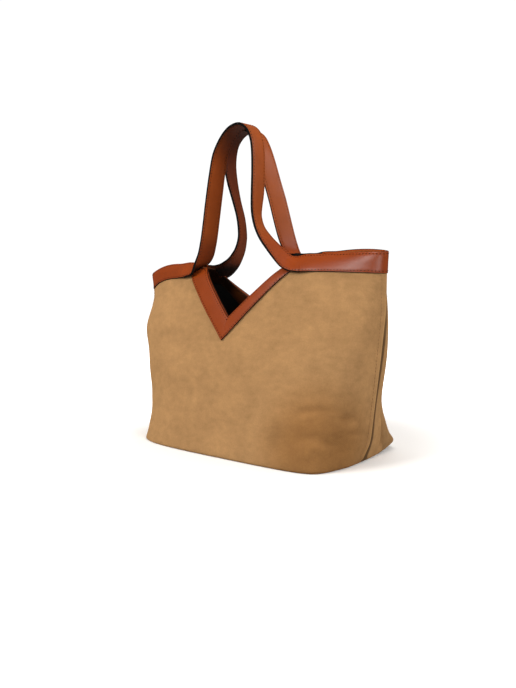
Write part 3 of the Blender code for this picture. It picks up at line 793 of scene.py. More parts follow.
def band_ring_points(side, hand, profile, steps, proud_all=False, end_x=BAND_END):
    """Rings of a strip that runs along the rim from the side seam to the shoulder."""
    share, inset, offset = profile
    s = share_at(end_x, BAND_LOW) * np.linspace(0, 1, steps)
    x_low, x_high = wall_xy(s, BAND_LOW)[0], wall_xy(s, RIM)[0]
    low, high = band_low(x_low), band_high(x_high)
    z = low[:, None] + (high - low)[:, None] * (share[None, :] + inset[None, :] / BAND_TALL)
    square = ease(1 - (x_low - end_x) / SHOULDER_SQUARE)[:, None]
    x, y = wall_xy(s[:, None] + 0 * z, z)
    x = x + (x_low[:, None] - x) * square
    y = np.where(square > 0, front_y(x, z), y)
    n = outward(x, y, z)
    stands = np.median(offset) > 0 or proud_all
    proud = ease(1 - (x_low - BAND_END) / SHOULDER_RUN) * SHOULDER_PROUD * stands
    p = np.stack([x, y, z], -1) + n * (offset[None, :] + proud[:, None])[..., None]
    if (hand == "left") == (side == "front"):
        p, n = p * (-1, 1, 1), n * (-1, 1, 1)
    return placed(side, p, n)


def sew_band(side, hand, group, offset, face):
    """Rows of stitches along both edges of a band, on the face that points out or in."""
    for share, inset in ((0.0, STITCH_INSET), (1.0, -STITCH_INSET)):
        row = (np.array([share]), np.array([inset]), np.array([offset]))
        p, n = band_ring_points(side, hand, row, STITCH_POINTS)
        lay_stitches(group, p[1:-1, 0], n[1:-1, 0] * face)


def make_band(side, hand, materials):
    """Outer leather of the rim from the side seam to the shoulder, sewn along both edges."""
    *profile, slots, around = strip_profile(BAND_GAP, BAND_GAP + LEATHER, BAND_TALL, LIP_OUTSIDE)
    p, _ = band_ring_points(side, hand, profile, BAND_STEPS)
    piece = loft(f"{side}_{hand}_band_leather", p, run_of(p[:, CREST]), around, slots, materials)
    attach(piece, "bag")
    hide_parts(f"{side}_{hand}_band")
    sew_band(side, hand, "bag", BAND_GAP + LEATHER + STITCH_LIFT, 1)


def make_facing(side, hand, materials):
    """Inner leather of the rim, which runs on behind the strap's foot."""
    back = -(CLOTH + INSIDE_GAP + LINING)
    *profile, slots, around = strip_profile(back, back - FACING, BAND_TALL, LIP_INSIDE, 2)
    p, _ = band_ring_points(side, hand, profile, FACING_STEPS, end_x=FACING_END)
    piece = loft(f"{side}_{hand}_facing_leather", p, run_of(p[:, CREST]), around, slots, materials)
    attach(piece, "bag")
    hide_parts(f"{side}_{hand}_facing")
    sew_band(side, hand, "inside", back - FACING - STITCH_LIFT, -1)


def v_points(side, share, offset):
    """Rings over both arms of the V, from the right arm's top end down to the tip and up the left."""
    up = np.linspace(V_TIP_STEP, V_REACH, V_STEPS)
    t = np.concatenate([np.linspace(V_REACH, V_TIP_STEP, V_STEPS), [0.0], up])[:, None]
    hand = np.repeat([1.0, 0.0, -1.0], [V_STEPS, 1, V_STEPS])[:, None]
    a = share[None, :]
    tip = V_OUTER_TIP + (V_INNER_TIP - V_OUTER_TIP) * a
    end_x = V_OUTER_END + (V_INNER_END - V_OUTER_END) * a
    end_z = BAND_LOW + (V_INNER_TOP - BAND_LOW) * a - V_SETBACK
    z = tip + (end_z - tip) * t
    x = end_x * t * hand
    if side == "front":
        tip_lean = V_OUTER_TIP_LEAN + (V_INNER_TIP_LEAN - V_OUTER_TIP_LEAN) * a
        x = x + tip_lean * (1 - t) + V_INNER_LEAN * a * np.clip(t, 0, 1)
    far = offset[None, :] + 0 * x
    middle = np.median(offset)
    if middle > 0:
        far = far - np.where(hand == 0, MITRE_GROOVE, 0.0) * (offset[None, :] > middle)
        far = far * (1 - V_END_THIN * np.clip((t - V_THIN_FROM) / V_THIN_RUN, 0, 1))
    return face_point(side, x, z, far)


def make_v(side, kind, materials):
    """The trim on both arms of a V, or the facing behind it."""
    if kind == "trim":
        low, high, lip, lift = TRIM_GAP, TRIM_GAP + LEATHER, LIP_OUTSIDE, STITCH_LIFT
    else:
        low = -(CLOTH + LINING_GAP + LINING + TRIM_GAP)
        high, lip, lift = low - FACING, LIP_INSIDE, -STITCH_LIFT
    share, inset, offset, slots, around = strip_profile(low, high, TRIM_WIDTH, lip)
    p, _ = v_points(side, share + inset / TRIM_WIDTH, offset)
    piece = loft(f"{side}_v_{kind}_leather", p, run_of(p[:, CREST]), around, slots, materials)
    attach(piece, "bag")
    if kind == "trim":
        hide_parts(side + "_left_trim", side + "_right_trim")
    else:
        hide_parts(side + "_v_facing")
    for share in (STITCH_INSET / TRIM_WIDTH, 1 - STITCH_INSET / TRIM_WIDTH):
        q, n = v_points(side, np.array([share]), np.array([high + lift]))
        for arm in (slice(1, V_STEPS), slice(V_STEPS + 1, -1)):
            if kind == "trim":
                lay_stitches("bag", q[arm, 0], n[arm, 0])
            else:
                lay_stitches("inside", q[arm, 0], -n[arm, 0])


# Handles


def curve_points(table, count):
    """Even steps along a smooth curve through the rows of a table."""
    rows = np.array(table, float)
    fine = []
    for i in range(len(rows) - 1):
        a, b, c, d = (rows[max(min(i + k, len(rows) - 1), 0)] for k in (-1, 0, 1, 2))
        for t in np.arange(CURVE_PARTS) / CURVE_PARTS:
            fine.append(0.5 * (2 * b + (c - a) * t + (2 * a - 5 * b + 4 * c - d) * t * t
                               + (3 * b - a - 3 * c + d) * t ** 3))
    fine = np.array(fine + [rows[-1]])
    run = run_of(fine[:, :3])
    at = np.linspace(0, run[-1], count + 1)
    return np.stack([np.interp(at, run, fine[:, k]) for k in range(fine.shape[1])], -1)


def strap_line(side):
    """Centre, across and outward directions of a strap from foot to foot, as if it were in front."""
    end_x = BAND_END - STRAP_END_GAP
    rows = []
    for x, y, z, *across in FRONT_STRAP_EDGE if side == "front" else BACK_STRAP_EDGE:
        across = np.array(across) / np.linalg.norm(across)
        edge = np.array((x * end_x, -y * FOOT_Y, FOOT_Z + z * (HANDLE_TOP - FOOT_Z)))
        rows.append(np.concatenate([edge + across * STRAP_HALF, across]))
    ends = []
    for x in (np.array(end_x), np.array(-end_x)):
        low, high = (np.array((x, front_y(x, z), z)) for z in (band_low(x), band_high(x)))
        across = (high - low) / np.linalg.norm(high - low)
        ends.append(np.concatenate([(low + high) / 2, across]))
    line = curve_points([ends[0]] + rows + [ends[1]], STRAP_STEPS)
    centre, across = line[:, :3], line[:, 3:]
    along = np.gradient(centre, axis=0)
    along[0] = along[-1] = (-1, 0, 0)
    along /= np.linalg.norm(along, axis=1, keepdims=True)
    across = across - along * (across * along).sum(1, keepdims=True)
    across /= np.linalg.norm(across, axis=1, keepdims=True)
    out = np.cross(across, along)
    return centre, across, out / np.linalg.norm(out, axis=1, keepdims=True)


def strap_points(side, share, inset, offset):
    """Points of a strap by profile, its feet fitted to the ends of the bands."""
    centre, across, out = strap_line(side)
    u = (share - 0.5) * 2 * STRAP_HALF + inset
    p = centre[:, None] + across[:, None] * u[None, :, None] + out[:, None] * offset[None, :, None]
    n = np.broadcast_to(out[:, None], p.shape).copy()
    p, n = turned(side, p, n)
    run = run_of(centre)
    wide = (share * BAND_TALL + inset) / BAND_TALL
    row = (wide, np.zeros_like(wide), offset + PLY_GAP)
    hands = ("right", "left") if side == "front" else ("left", "right")
    for hand, end, far in ((hands[0], 0, run), (hands[1], -1, run[-1] - run)):
        fade = 1 - ease((far - FOOT_HOLD) / FOOT_EASE)
        foot = band_ring_points(side, hand, row, FOOT_STEPS, True)[0][-1]
        p = p + (foot - p[end])[None] * fade[:, None, None]
    return p, n


def halves(side):
    """Steps of the two halves of a strap, by the hand that each foot is on."""
    half = STRAP_STEPS // 2
    first, last = slice(0, half + 1), slice(half, STRAP_STEPS + 1)
    return {"right": first, "left": last} if side == "front" else {"left": first, "right": last}


def make_handle(side, outer_materials, inner_materials):
    """Two plies of a strap, each in two halves that bend from the bag into the handle."""
    for ply, way, materials in (("outer", 1, outer_materials), ("inner", -1, inner_materials)):
        low, high = way * PLY_GAP, way * (PLY_GAP + LEATHER)
        share, inset, offset, slots, around = strip_profile(low, high, 2 * STRAP_HALF)
        p, _ = strap_points(side, share, inset, offset)
        along = run_of(p[:, CREST])
        for hand, cut in halves(side).items():
            piece = loft(f"{side}_handle_{hand}_{ply}_leather", p[cut], along[cut], around, slots, materials)
            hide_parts(f"{side}_handle_{ply}")
            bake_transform(piece)
        for share, inset in ((0.0, STITCH_INSET), (1.0, -STITCH_INSET)):
            row = (np.array([q]) for q in (share, inset, high + way * STITCH_LIFT))
            q, n = strap_points(side, *row)
            for hand, cut in halves(side).items():
                lay_stitches(f"{side}_handle_{hand}", q[cut][1:-1, 0], n[cut][1:-1, 0] * way)


# Nodes


def fill(tree, node, inputs):
    """Set inputs of a node by name or place, each to a value or to another node's socket."""
    for label, value in inputs.items():
        if isinstance(value, bpy.types.NodeSocket):
            tree.links.new(value, node.inputs[label])
        else:
            node.inputs[label].default_value = value


def put(tree, kind, inputs=None, **settings):
    """A new node with its settings and its inputs."""
    node = tree.nodes.new(kind)
    for label, value in settings.items():
        setattr(node, label, value)
    fill(tree, node, inputs or {})
    return node


def node_group(name, kind, inputs, outputs):
    """Empty node group with named sockets, and the sockets of its two ends."""
    group = bpy.data.node_groups.new(name, kind)
    for label, socket_kind, default in inputs:
        socket = group.interface.new_socket(label, in_out="INPUT", socket_type="NodeSocket" + socket_kind)
        if default is not None:
            socket.default_value = default
    for label, socket_kind in outputs:
        group.interface.new_socket(label, in_out="OUTPUT", socket_type="NodeSocket" + socket_kind)
    return group, group.nodes.new("NodeGroupInput").outputs, group.nodes.new("NodeGroupOutput").inputs


def calc(tree, kind, *values):
    """Result of a sum on numbers and sockets."""
    return put(tree, "ShaderNodeMath", dict(enumerate(values)), operation=kind).outputs[0]


def noise(tree, place, scale, **inputs):
    """Cloudy noise over places."""
    return put(tree, "ShaderNodeTexNoise", {"Vector": place, "Scale": scale, **inputs}).outputs["Fac"]


def mixed(tree, factor, a, b, kind="FLOAT"):
    """Blend from one number, vector or colour to another."""
    return put(tree, "ShaderNodeMix", {"Factor": factor, "A": a, "B": b}, data_type=kind).outputs["Result"]


def spread(tree, value, low, high, bottom=0.0, top=1.0, way="SMOOTHSTEP"):
    """A value's share of the way from low to high, as a number from bottom to top."""
    node = put(tree, "ShaderNodeMapRange", interpolation_type=way)
    fill(tree, node, {"Value": value, "From Min": low, "From Max": high, "To Min": bottom, "To Max": top})
    return node.outputs["Result"]


# Stitches


def stitch_tree():
    """Nodes that set stitches along sewn rows: pitch, length, thread and material are inputs."""
    tree, given, result = node_group(
        "Stitch Rows", "GeometryNodeTree",
        [("Geometry", "Geometry", None), ("Pitch", "Float", 0.0045), ("Stitch Length", "Float", 0.0034),
         ("Thread", "Float", 0.0007), ("Seed", "Int", 7), ("Material", "Material", None)],
        [("Geometry", "Geometry")],
    )
    curve = put(tree, "GeometryNodeMeshToCurve", {"Mesh": given["Geometry"]})
    steps = put(tree, "GeometryNodeResampleCurve", mode="LENGTH")
    fill(tree, steps, {"Curve": curve.outputs["Curve"], "Length": given["Pitch"]})
    stitch = put(tree, "GeometryNodeMeshUVSphere", {"Segments": 6, "Rings": 4, "Radius": 0.5})
    tangent = put(tree, "GeometryNodeInputTangent")
    out = put(tree, "GeometryNodeInputNamedAttribute", {"Name": "out"}, data_type="FLOAT_VECTOR")
    lie = put(tree, "FunctionNodeAlignRotationToVector", {"Vector": tangent.outputs["Tangent"]}, axis="X")
    stand = put(tree, "FunctionNodeAlignRotationToVector", axis="Z", pivot_axis="X")
    fill(tree, stand, {"Rotation": lie.outputs["Rotation"], "Vector": out.outputs["Attribute"]})
    uneven = put(tree, "FunctionNodeRandomValue", data_type="FLOAT")
    fill(tree, uneven, {"Min": 0.92, "Max": 1.04, "Seed": given["Seed"]})
    length = calc(tree, "MULTIPLY", given["Stitch Length"], uneven.outputs["Value"])
    size = put(tree, "ShaderNodeCombineXYZ", {"X": length, "Y": given["Thread"], "Z": given["Thread"]})
    laid = put(tree, "GeometryNodeInstanceOnPoints", {
        "Points": steps.outputs["Curve"], "Instance": stitch.outputs["Mesh"],
        "Rotation": stand.outputs["Rotation"], "Scale": size.outputs["Vector"],
    })
    real = put(tree, "GeometryNodeRealizeInstances", {"Geometry": laid.outputs["Instances"]})
    sewn = put(tree, "GeometryNodeSetMaterial", {"Geometry": real.outputs["Geometry"],
                                                 "Material": given["Material"]})
    tree.links.new(sewn.outputs["Geometry"], result["Geometry"])
    return tree


def sew(name, rows, tree, settings, material):
    """Plain mesh of stitches along rows of points."""
    verts, edges, outs = [], [], []
    for points, normals in rows:
        start = len(verts)
        verts += points.tolist()
        outs += normals.tolist()
        edges += [(start + i, start + i + 1) for i in range(len(points) - 1)]
    mesh = bpy.data.meshes.new(name + "_rows")
    mesh.from_pydata(verts, edges, [])
    attribute = mesh.attributes.new("out", "FLOAT_VECTOR", "POINT")
    attribute.data.foreach_set("vector", np.array(outs, np.float32).ravel())
    rows_object = add_object(name + "_rows", mesh)
    modifier = rows_object.modifiers.new("Stitches", "NODES")
    modifier.node_group = tree
    values = dict(settings, Material=material)
    for item in tree.interface.items_tree:
        if item.in_out == "INPUT" and item.name in values:
            modifier[item.identifier] = values[item.name]
    rows_object.update_tag()
    bpy.context.view_layer.update()
    ready = rows_object.evaluated_get(bpy.context.evaluated_depsgraph_get())
    made = bpy.data.meshes.new_from_object(ready)
    made.name = name
    bpy.data.objects.remove(rows_object)
    made.shade_smooth()
    return add_object(name, made)


# Shader groups


def mottle_group():
    """Slow cloudy change between two colours, as in napped cloth and dyed hide."""
    group, given, result = node_group(
        "Cloudy Tone", "ShaderNodeTree",
        [("Vector", "Vector", None), ("Light", "Color", (1, 1, 1, 1)), ("Dark", "Color", (0, 0, 0, 1)),
         ("Scale", "Float", 20.0), ("Fine Scale", "Float", 400.0), ("Fine Share", "Float", 0.3)],
        [("Color", "Color")],
    )
    slow = noise(group, given["Vector"], given["Scale"], Detail=5, Roughness=0.6)
    fine = noise(group, given["Vector"], given["Fine Scale"], Detail=3)
    both = mixed(group, given["Fine Share"], slow, fine)
    contrast = spread(group, both, 0.32, 0.68, way="LINEAR")
    tint = mixed(group, contrast, given["Dark"], given["Light"], "RGBA")
    group.links.new(tint, result["Color"])
    return group


def weave_group():
    """Height of a plain weave with a nap, from the piece's own flat places."""
    group, given, result = node_group(
        "Plain Weave", "ShaderNodeTree",
        [("Vector", "Vector", None), ("Threads", "Float", 900.0), ("Nap", "Float", 0.5)],
        [("Height", "Float")],
    )
    split = put(group, "ShaderNodeSeparateXYZ", {"Vector": given["Vector"]})
    turns = calc(group, "MULTIPLY", given["Threads"], math.pi)
    warp, weft = (calc(group, "SINE", calc(group, "MULTIPLY", split.outputs[axis], turns)) for axis in "XY")
    nap = noise(group, given["Vector"], 1400, Detail=2)
    height = mixed(group, given["Nap"], calc(group, "MULTIPLY", warp, weft), nap)
    group.links.new(height, result["Height"])
    return group


def grain_group():
    """Height of fine leather grain with a few shallow creases."""
    group, given, result = node_group(
        "Leather Grain", "ShaderNodeTree",
        [("Vector", "Vector", None), ("Scale", "Float", 900.0), ("Crease", "Float", 0.3)],
        [("Height", "Float"), ("Rough", "Float")],
    )
    cells = put(group, "ShaderNodeTexVoronoi", feature="DISTANCE_TO_EDGE")
    fill(group, cells, {"Vector": given["Vector"], "Scale": given["Scale"]})
    soft = spread(group, cells.outputs["Distance"], 0.0, 0.25, way="LINEAR")
    wrinkle = noise(group, given["Vector"], 60, Detail=4, Distortion=0.6)
    group.links.new(mixed(group, given["Crease"], soft, wrinkle), result["Height"])
    group.links.new(wrinkle, result["Rough"])
    return group


def blotch_group():
    """Faint worn blotches, broader across than up, as a number near one."""
    group, given, result = node_group(
        "Worn Blotches", "ShaderNodeTree",
        [("Vector", "Vector", None), ("Amount", "Float", 0.10)],
        [("Tone", "Float")],
    )
    broad = put(group, "ShaderNodeVectorMath", {0: given["Vector"], 1: BLOTCH_STRETCH},
                operation="MULTIPLY")
    sums = 0.0
    for scale in BLOTCH_SCALES:
        cloud = noise(group, broad.outputs["Vector"], scale, Detail=3)
        sums = calc(group, "ADD", sums, calc(group, "SUBTRACT", cloud, 0.5))
    amount = calc(group, "MULTIPLY", sums, given["Amount"])
    group.links.new(calc(group, "ADD", amount, 1.0), result["Tone"])
    return group


# Materials


def new_material(name, color, roughness):
    """A plain material, with its nodes and its shader."""
    material = bpy.data.materials.new(name)
    material.use_nodes = True
    shader = material.node_tree.nodes["Principled BSDF"]
    fill(material.node_tree, shader, {"Base Color": (*color, 1), "Roughness": roughness})
    return material, material.node_tree, shader


def shade(color, amount):
    """A colour made lighter or darker, with its alpha."""
    return (*(c * amount for c in color), 1)


def distance(tree, place, point):
    """Distance of each place from a point."""
    return put(tree, "ShaderNodeVectorMath", {0: place, 1: point}, operation="DISTANCE").outputs["Value"]


def scaled(tree, color, factor):
    """A colour made darker or lighter by a number."""
    return put(tree, "ShaderNodeVectorMath", {0: color, "Scale": factor}, operation="SCALE").outputs["Vector"]


def toned(tree, color, factor, tone):
    """A colour moved towards its product with a tone, as far as the factor says."""
    product = put(tree, "ShaderNodeVectorMath", {0: color, 1: tone}, operation="MULTIPLY").outputs["Vector"]
    return mixed(tree, factor, color, product, "VECTOR")


def bumped(tree, shader, height, strength, depth):
    """Give a shader the relief of a height."""
    bump = put(tree, "ShaderNodeBump", {"Height": height, "Strength": strength, "Distance": depth})
    tree.links.new(bump.outputs["Normal"], shader.inputs["Normal"])


def seam_shade(tree, color, flat, seam, front):
    """Painted shadow beside the side seams on the back, painted highlight on the front's ridge; strongest low
    down, fainter at the far seam.

    The back panel also has painted shade on the pinched fold at its lower corner.
    """
    edge_low, edge_high, amount = seam
    beside = spread(tree, calc(tree, "ABSOLUTE", flat["X"]), edge_low, edge_high)
    lower = spread(tree, flat["Y"], *SEAM_FADE)
    hand = spread(tree, flat["X"], *SEAM_HANDS, *((SEAM_FAINT, 1.0) if front else (1.0, SEAM_FAINT)))
    under = calc(tree, "MULTIPLY", calc(tree, "MULTIPLY", beside, lower), hand)
    color = scaled(tree, color, calc(tree, "MULTIPLY_ADD", under, amount, 1.0))
    if front:
        return color
    # Painted shade on the pinched fold at the back's lower corner
    slant = calc(tree, "MULTIPLY_ADD", flat["Y"], EAR_SLANT, flat["X"])
    facet = spread(tree, slant, *EAR_CREASE)
    within = spread(tree, flat["X"], *EAR_ACROSS, 1.0, 0.0)
    down = spread(tree, flat["Y"], *EAR_UP, 1.0, 0.0)
    dim = calc(tree, "MULTIPLY", calc(tree, "MULTIPLY", facet, within), down)
    return scaled(tree, color, calc(tree, "MULTIPLY_ADD", dim, EAR_SHADE, 1.0))


def cloth_material(name, color, groups, threads, light=1.10, dark=0.86, nap=0.6, sheen=0.25,
                   worn=0.0, seam=None, front_corner_shade=False):
    """Woven cloth with a soft nap and cloudy colour.

    It can have painted shadow where it goes in under a seam, a painted highlight on the seam's ridge, and
    painted shade at the lower right corner.
    """
    material, tree, shader = new_material(name, color, CLOTH_ROUGH)
    fill(tree, shader, {"Specular IOR Level": 0.15, "Sheen Weight": sheen, "Sheen Roughness": 0.5,
                        "Sheen Tint": shade(color, 1.3)})
    place = put(tree, "ShaderNodeTexCoord").outputs
    cloudy = put(tree, "ShaderNodeGroup", node_tree=groups["mottle"])
    fill(tree, cloudy, {"Vector": place["Object"], "Light": shade(color, light), "Dark": shade(color, dark),
                        "Scale": 26.0, "Fine Scale": 520.0, "Fine Share": 0.42})
    blotches = put(tree, "ShaderNodeGroup", node_tree=groups["blotch"])
    fill(tree, blotches, {"Vector": place["Object"], "Amount": worn})
    tint = scaled(tree, cloudy.outputs["Color"], blotches.outputs["Tone"])
    # Painted seam shadow on the back panel, painted ridge highlight on the front panel
    if seam:
        flat = put(tree, "ShaderNodeSeparateXYZ", {"Vector": place["UV"]}).outputs
        tint = seam_shade(tree, tint, flat, seam, front_corner_shade)
    # Painted shade at the front panel's lower right corner
    if front_corner_shade:
        near = spread(tree, distance(tree, place["Object"], CORNER_SHADE_PLACE), *CORNER_SHADE_REACH, 1.0, 0.0)
        tint = toned(tree, tint, near, CORNER_SHADE_TONE)
    tree.links.new(tint, shader.inputs["Base Color"])
    weave = put(tree, "ShaderNodeGroup", node_tree=groups["weave"])
    fill(tree, weave, {"Vector": place["UV"], "Threads": threads, "Nap": nap})
    bumped(tree, shader, weave.outputs["Height"], *WEAVE_BUMP)
    return material


def leather_material(name, color, groups, roughness, light=1.12, dark=0.86, coat=0.03, shine=0.30,
                     painted_shade=False, painted_strap_light=None):
    """Smooth dyed leather with a fine grain.

    Shaded leather has painted shade down inside the bag and up under the straps' arch, and a painted
    pool of light on the back V's facing. Strap leather has painted light up along the straps.
    """
    material, tree, shader = new_material(name, color, roughness)
    fill(tree, shader, {"Specular IOR Level": shine, "Coat Weight": coat, "Coat Roughness": 0.32})
    place = put(tree, "ShaderNodeTexCoord").outputs["Object"]
    cloudy = put(tree, "ShaderNodeGroup", node_tree=groups["mottle"])
    fill(tree, cloudy, {"Vector": place, "Light": shade(color, light), "Dark": shade(color, dark),
                        "Scale": 18.0, "Fine Scale": 260.0, "Fine Share": 0.25})
    tint = cloudy.outputs["Color"]
    height = put(tree, "ShaderNodeSeparateXYZ", {"Vector": place}).outputs["Z"]
    # Painted light up along the straps: painted sheen outside, lighter inner ply
    if painted_strap_light:
        tint = toned(tree, tint, spread(tree, height, *STRAP_FADE), painted_strap_light)
    # Painted shade inside the bag and under the arch, with a painted pool of light on the back V's facing
    if painted_shade:
        near = spread(tree, distance(tree, place, FACING_SPOT), *FACING_SPOT_REACH, FACING_SPOT_LIGHT, 0.0)
        lit = calc(tree, "MAXIMUM", spread(tree, height, *FACING_SHADE), near)
        tint = scaled(tree, tint, calc(tree, "MULTIPLY_ADD", lit, 1 - DEEP_LIGHT, DEEP_LIGHT))
        tint = scaled(tree, tint, spread(tree, height, *ARCH_SHADE))
    tree.links.new(tint, shader.inputs["Base Color"])
    grain = put(tree, "ShaderNodeGroup", node_tree=groups["grain"])
    fill(tree, grain, {"Vector": place, "Scale": 1100.0, "Crease": 0.3})
    rough = spread(tree, grain.outputs["Rough"], 0.0, 1.0, roughness - 0.06, roughness + 0.08, "LINEAR")
    tree.links.new(rough, shader.inputs["Roughness"])
    bumped(tree, shader, grain.outputs["Height"], *GRAIN_BUMP)
    return material


finishes = {}


def finish(name):
    """A material of the bag by name. All are made when one is first asked for."""
    if finishes:
        return finishes[name]
    groups = {"mottle": mottle_group(), "weave": weave_group(), "grain": grain_group(),
              "blotch": blotch_group()}
    colours = bpy.context.scene.tote_colours
    canvas = {"threads": 900.0, "worn": 0.25}
    thread = {"threads": 3000.0, "light": 1.1, "nap": 0.3}
    # Inside leathers and facings carry painted shade
    inside = {"roughness": 0.50, "coat": 0.0, "shine": 0.20, "painted_shade": True}
    cloths = (
        ("front_cloth", "Front napped canvas", "cloth", {**canvas, "seam": SEAM_RIDGE_HIGHLIGHT, "front_corner_shade": True}),
        ("back_cloth", "Back napped canvas", "cloth", {**canvas, "seam": SEAM_SHADOW}),
        ("lining", "Black lining", "lining",
         {"threads": 1500.0, "light": 1.3, "dark": 0.7, "nap": 0.3, "sheen": 0.1}),
        ("thread", "Leather thread", "thread", {**thread, "dark": 0.85, "sheen": 0.2}),
        ("cloth_thread", "Cloth thread", "cloth_thread", {**thread, "dark": 0.9, "sheen": 0.2}),
        # Inside thread is darker than the outside thread as painted shade inside the bag
        ("inside_thread", "Inside thread", "inside_thread", {**thread, "dark": 0.9, "sheen": 0.0}),
        ("board", "Base board", "board", {"threads": 700.0, "light": 1.1, "dark": 0.9}),
    )
    leathers = (
        # The straps' leather has painted light and painted sheen up along them
        ("leather", "Cognac leather", "leather", {"roughness": 0.37, "painted_strap_light": STRAP_TONE}),
        ("leather_inner", "Cognac leather inside", "leather_inside", inside),
        ("strap_inside", "Strap inside", "leather_inside", {**inside, "painted_strap_light": STRAP_INSIDE_TONE}),
        ("facing", "Facing leather", "facing", {**inside, "roughness": 0.55, "shine": 0.12}),
        ("edge", "Painted edge", "edge_paint",
         {"roughness": 0.60, "light": 1.2, "dark": 0.8, "coat": 0.0, "shine": 0.10}),
    )
    for make, rows in ((cloth_material, cloths), (leather_material, leathers)):
        for key, label, colour, values in rows:
            finishes[key] = make(label, tuple(getattr(colours, colour)), groups, **values)
    return finishes[name]


# Add-on classes


class ToteSizes(PropertyGroup):
    stitch_pitch: FloatProperty(name="Stitch pitch", description="Distance from one stitch to the next",
                                default=0.0048, min=0.002, max=0.01, unit="LENGTH", precision=4)
    stitch_length: FloatProperty(name="Stitch length", description="Length of one stitch",
                                 default=0.0026, min=0.001, max=0.008, unit="LENGTH", precision=4)
    thread: FloatProperty(name="Thread", description="Thickness of the sewing thread",
                          default=0.0011, min=0.0002, max=0.002, unit="LENGTH", precision=4)
    floor_size: FloatProperty(name="Floor size", description="Width of the studio floor",
                              default=24.0, min=2.0, max=60.0, unit="LENGTH")


def colour_property(name, description, default):
    """A colour that can be set in the panel."""
    return FloatVectorProperty(name=name, description=description, default=default, size=3,
                               min=0, max=1, subtype="COLOR")


class ToteColours(PropertyGroup):
    cloth: colour_property("Cloth", "Colour of the canvas panels", (0.46, 0.252, 0.103))
    lining: colour_property("Lining", "Colour of the lining", (0.008, 0.007, 0.006))
    leather: colour_property("Leather", "Colour of the leather outside", (0.300, 0.048, 0.005))
    leather_inside: colour_property("Leather inside", "Colour of the inner plies of the handles",
                                    (0.24, 0.043, 0.007))
    facing: colour_property("Facing", "Colour of the leather facings inside the rim", (0.24, 0.060, 0.012))
    edge_paint: colour_property("Edge paint", "Colour of the painted leather edges", (0.006, 0.0045, 0.004))
    thread: colour_property("Thread", "Colour of the thread on leather", (0.045, 0.014, 0.006))
    cloth_thread: colour_property("Cloth thread", "Colour of the thread on cloth", (0.36, 0.20, 0.09))
    # Darker than the outside thread, as painted shade inside the bag
    inside_thread: colour_property("Inside thread", "Colour of the thread on the facings",
                                   (0.03, 0.012, 0.006))
    board: colour_property("Board", "Colour of the base board", (0.05, 0.045, 0.04))


class TOTE_OT_cloth_panels(Operator):
    """Make the front and back cloth panels"""

    bl_idname = "tote.cloth_panels"
    bl_label = "Cloth Panels"

    def execute(self, context):
        for side in ("front", "back"):
            make_cloth(side, finish(side + "_cloth"))
        return {"FINISHED"}


class TOTE_OT_lining(Operator):
    """Make the lining and finish the base board under it"""

    bl_idname = "tote.lining"
    bl_label = "Lining"

    def execute(self, context):
        for side in ("front", "back"):
            make_lining(side, finish("lining"))
        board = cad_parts["base_board"]
        board.data.materials.clear()
        board.data.materials.append(finish("board"))
        return {"FINISHED"}


class TOTE_OT_top_bands(Operator):
    """Make the leather bands round the rim and their facings"""

    bl_idname = "tote.top_bands"
    bl_label = "Top Bands"

    def execute(self, context):
        for side in ("front", "back"):
            for hand in ("left", "right"):
                make_band(side, hand, [finish("leather"), finish("edge")])
                make_facing(side, hand, [finish("facing"), finish("edge")])
        return {"FINISHED"}


class TOTE_OT_v_trims(Operator):
    """Make the V trims and the V facings inside"""

    bl_idname = "tote.v_trims"
    bl_label = "V Trims"

    def execute(self, context):
        for side in ("front", "back"):
            make_v(side, "trim", [finish("leather"), finish("edge")])
            make_v(side, "facing", [finish("facing"), finish("edge")])
        return {"FINISHED"}


class TOTE_OT_handles(Operator):
    """Make the two strap handles, each of two plies"""

    bl_idname = "tote.handles"
    bl_label = "Handles"

    def execute(self, context):
        for side in ("front", "back"):
            inside = finish("strap_inside" if side == "front" else "leather_inner")
            make_handle(side, [finish("leather"), finish("edge")], [inside, finish("edge")])
        return {"FINISHED"}


class TOTE_OT_stitching(Operator):
    """Sew the rows of stitches on the leather and the side seams"""

    bl_idname = "tote.stitching"
    bl_label = "Stitching"

    def execute(self, context):
        sizes = context.scene.tote_sizes
        settings = {"Pitch": sizes.stitch_pitch, "Stitch Length": sizes.stitch_length,
                    "Thread": sizes.thread, "Seed": 7}
        tree = stitch_tree()
        for group, rows in stitch_paths.items():
            thread = finish({"cloth": "cloth_thread", "inside": "inside_thread"}.get(group, "thread"))
            piece = sew(group + "_stitches", rows, tree, settings, thread)
            if "handle" in group:
                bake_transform(piece)
            else:
                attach(piece, "bag")
        return {"FINISHED"}


def area_light(name, place, target, size, power, color, gleam):
    """A soft panel light. A gleam gives mirrored shine alone, and the others give all but that."""
    data = bpy.data.lights.new(name, "AREA")
    data.shape = "RECTANGLE"
    data.size, data.size_y = size
    data.energy = power
    data.color = color
    light = add_object(name, data)
    turn = (Vector(target) - Vector(place)).to_track_quat("-Z", "Y").to_matrix().to_4x4()
    light.matrix_world = Matrix.Translation(place) @ turn
    light.visible_glossy = gleam
    light.visible_diffuse = not gleam


def studio_world(scene):
    """White surround for the eye, a dimmer one for the light it gives and what it mirrors."""
    world = scene.world or bpy.data.worlds.new("World")
    scene.world = world
    world.use_nodes = True
    tree = world.node_tree
    seen = put(tree, "ShaderNodeLightPath").outputs
    mirror = calc(tree, "MULTIPLY_ADD", seen["Is Glossy Ray"], WORLD_MIRRORED - WORLD_LIGHT, WORLD_LIGHT)
    eye = calc(tree, "MULTIPLY_ADD", seen["Is Camera Ray"], WORLD_SEEN - WORLD_LIGHT, mirror)
    fill(tree, tree.nodes["Background"], {"Color": (1, 1, 1, 1), "Strength": eye})


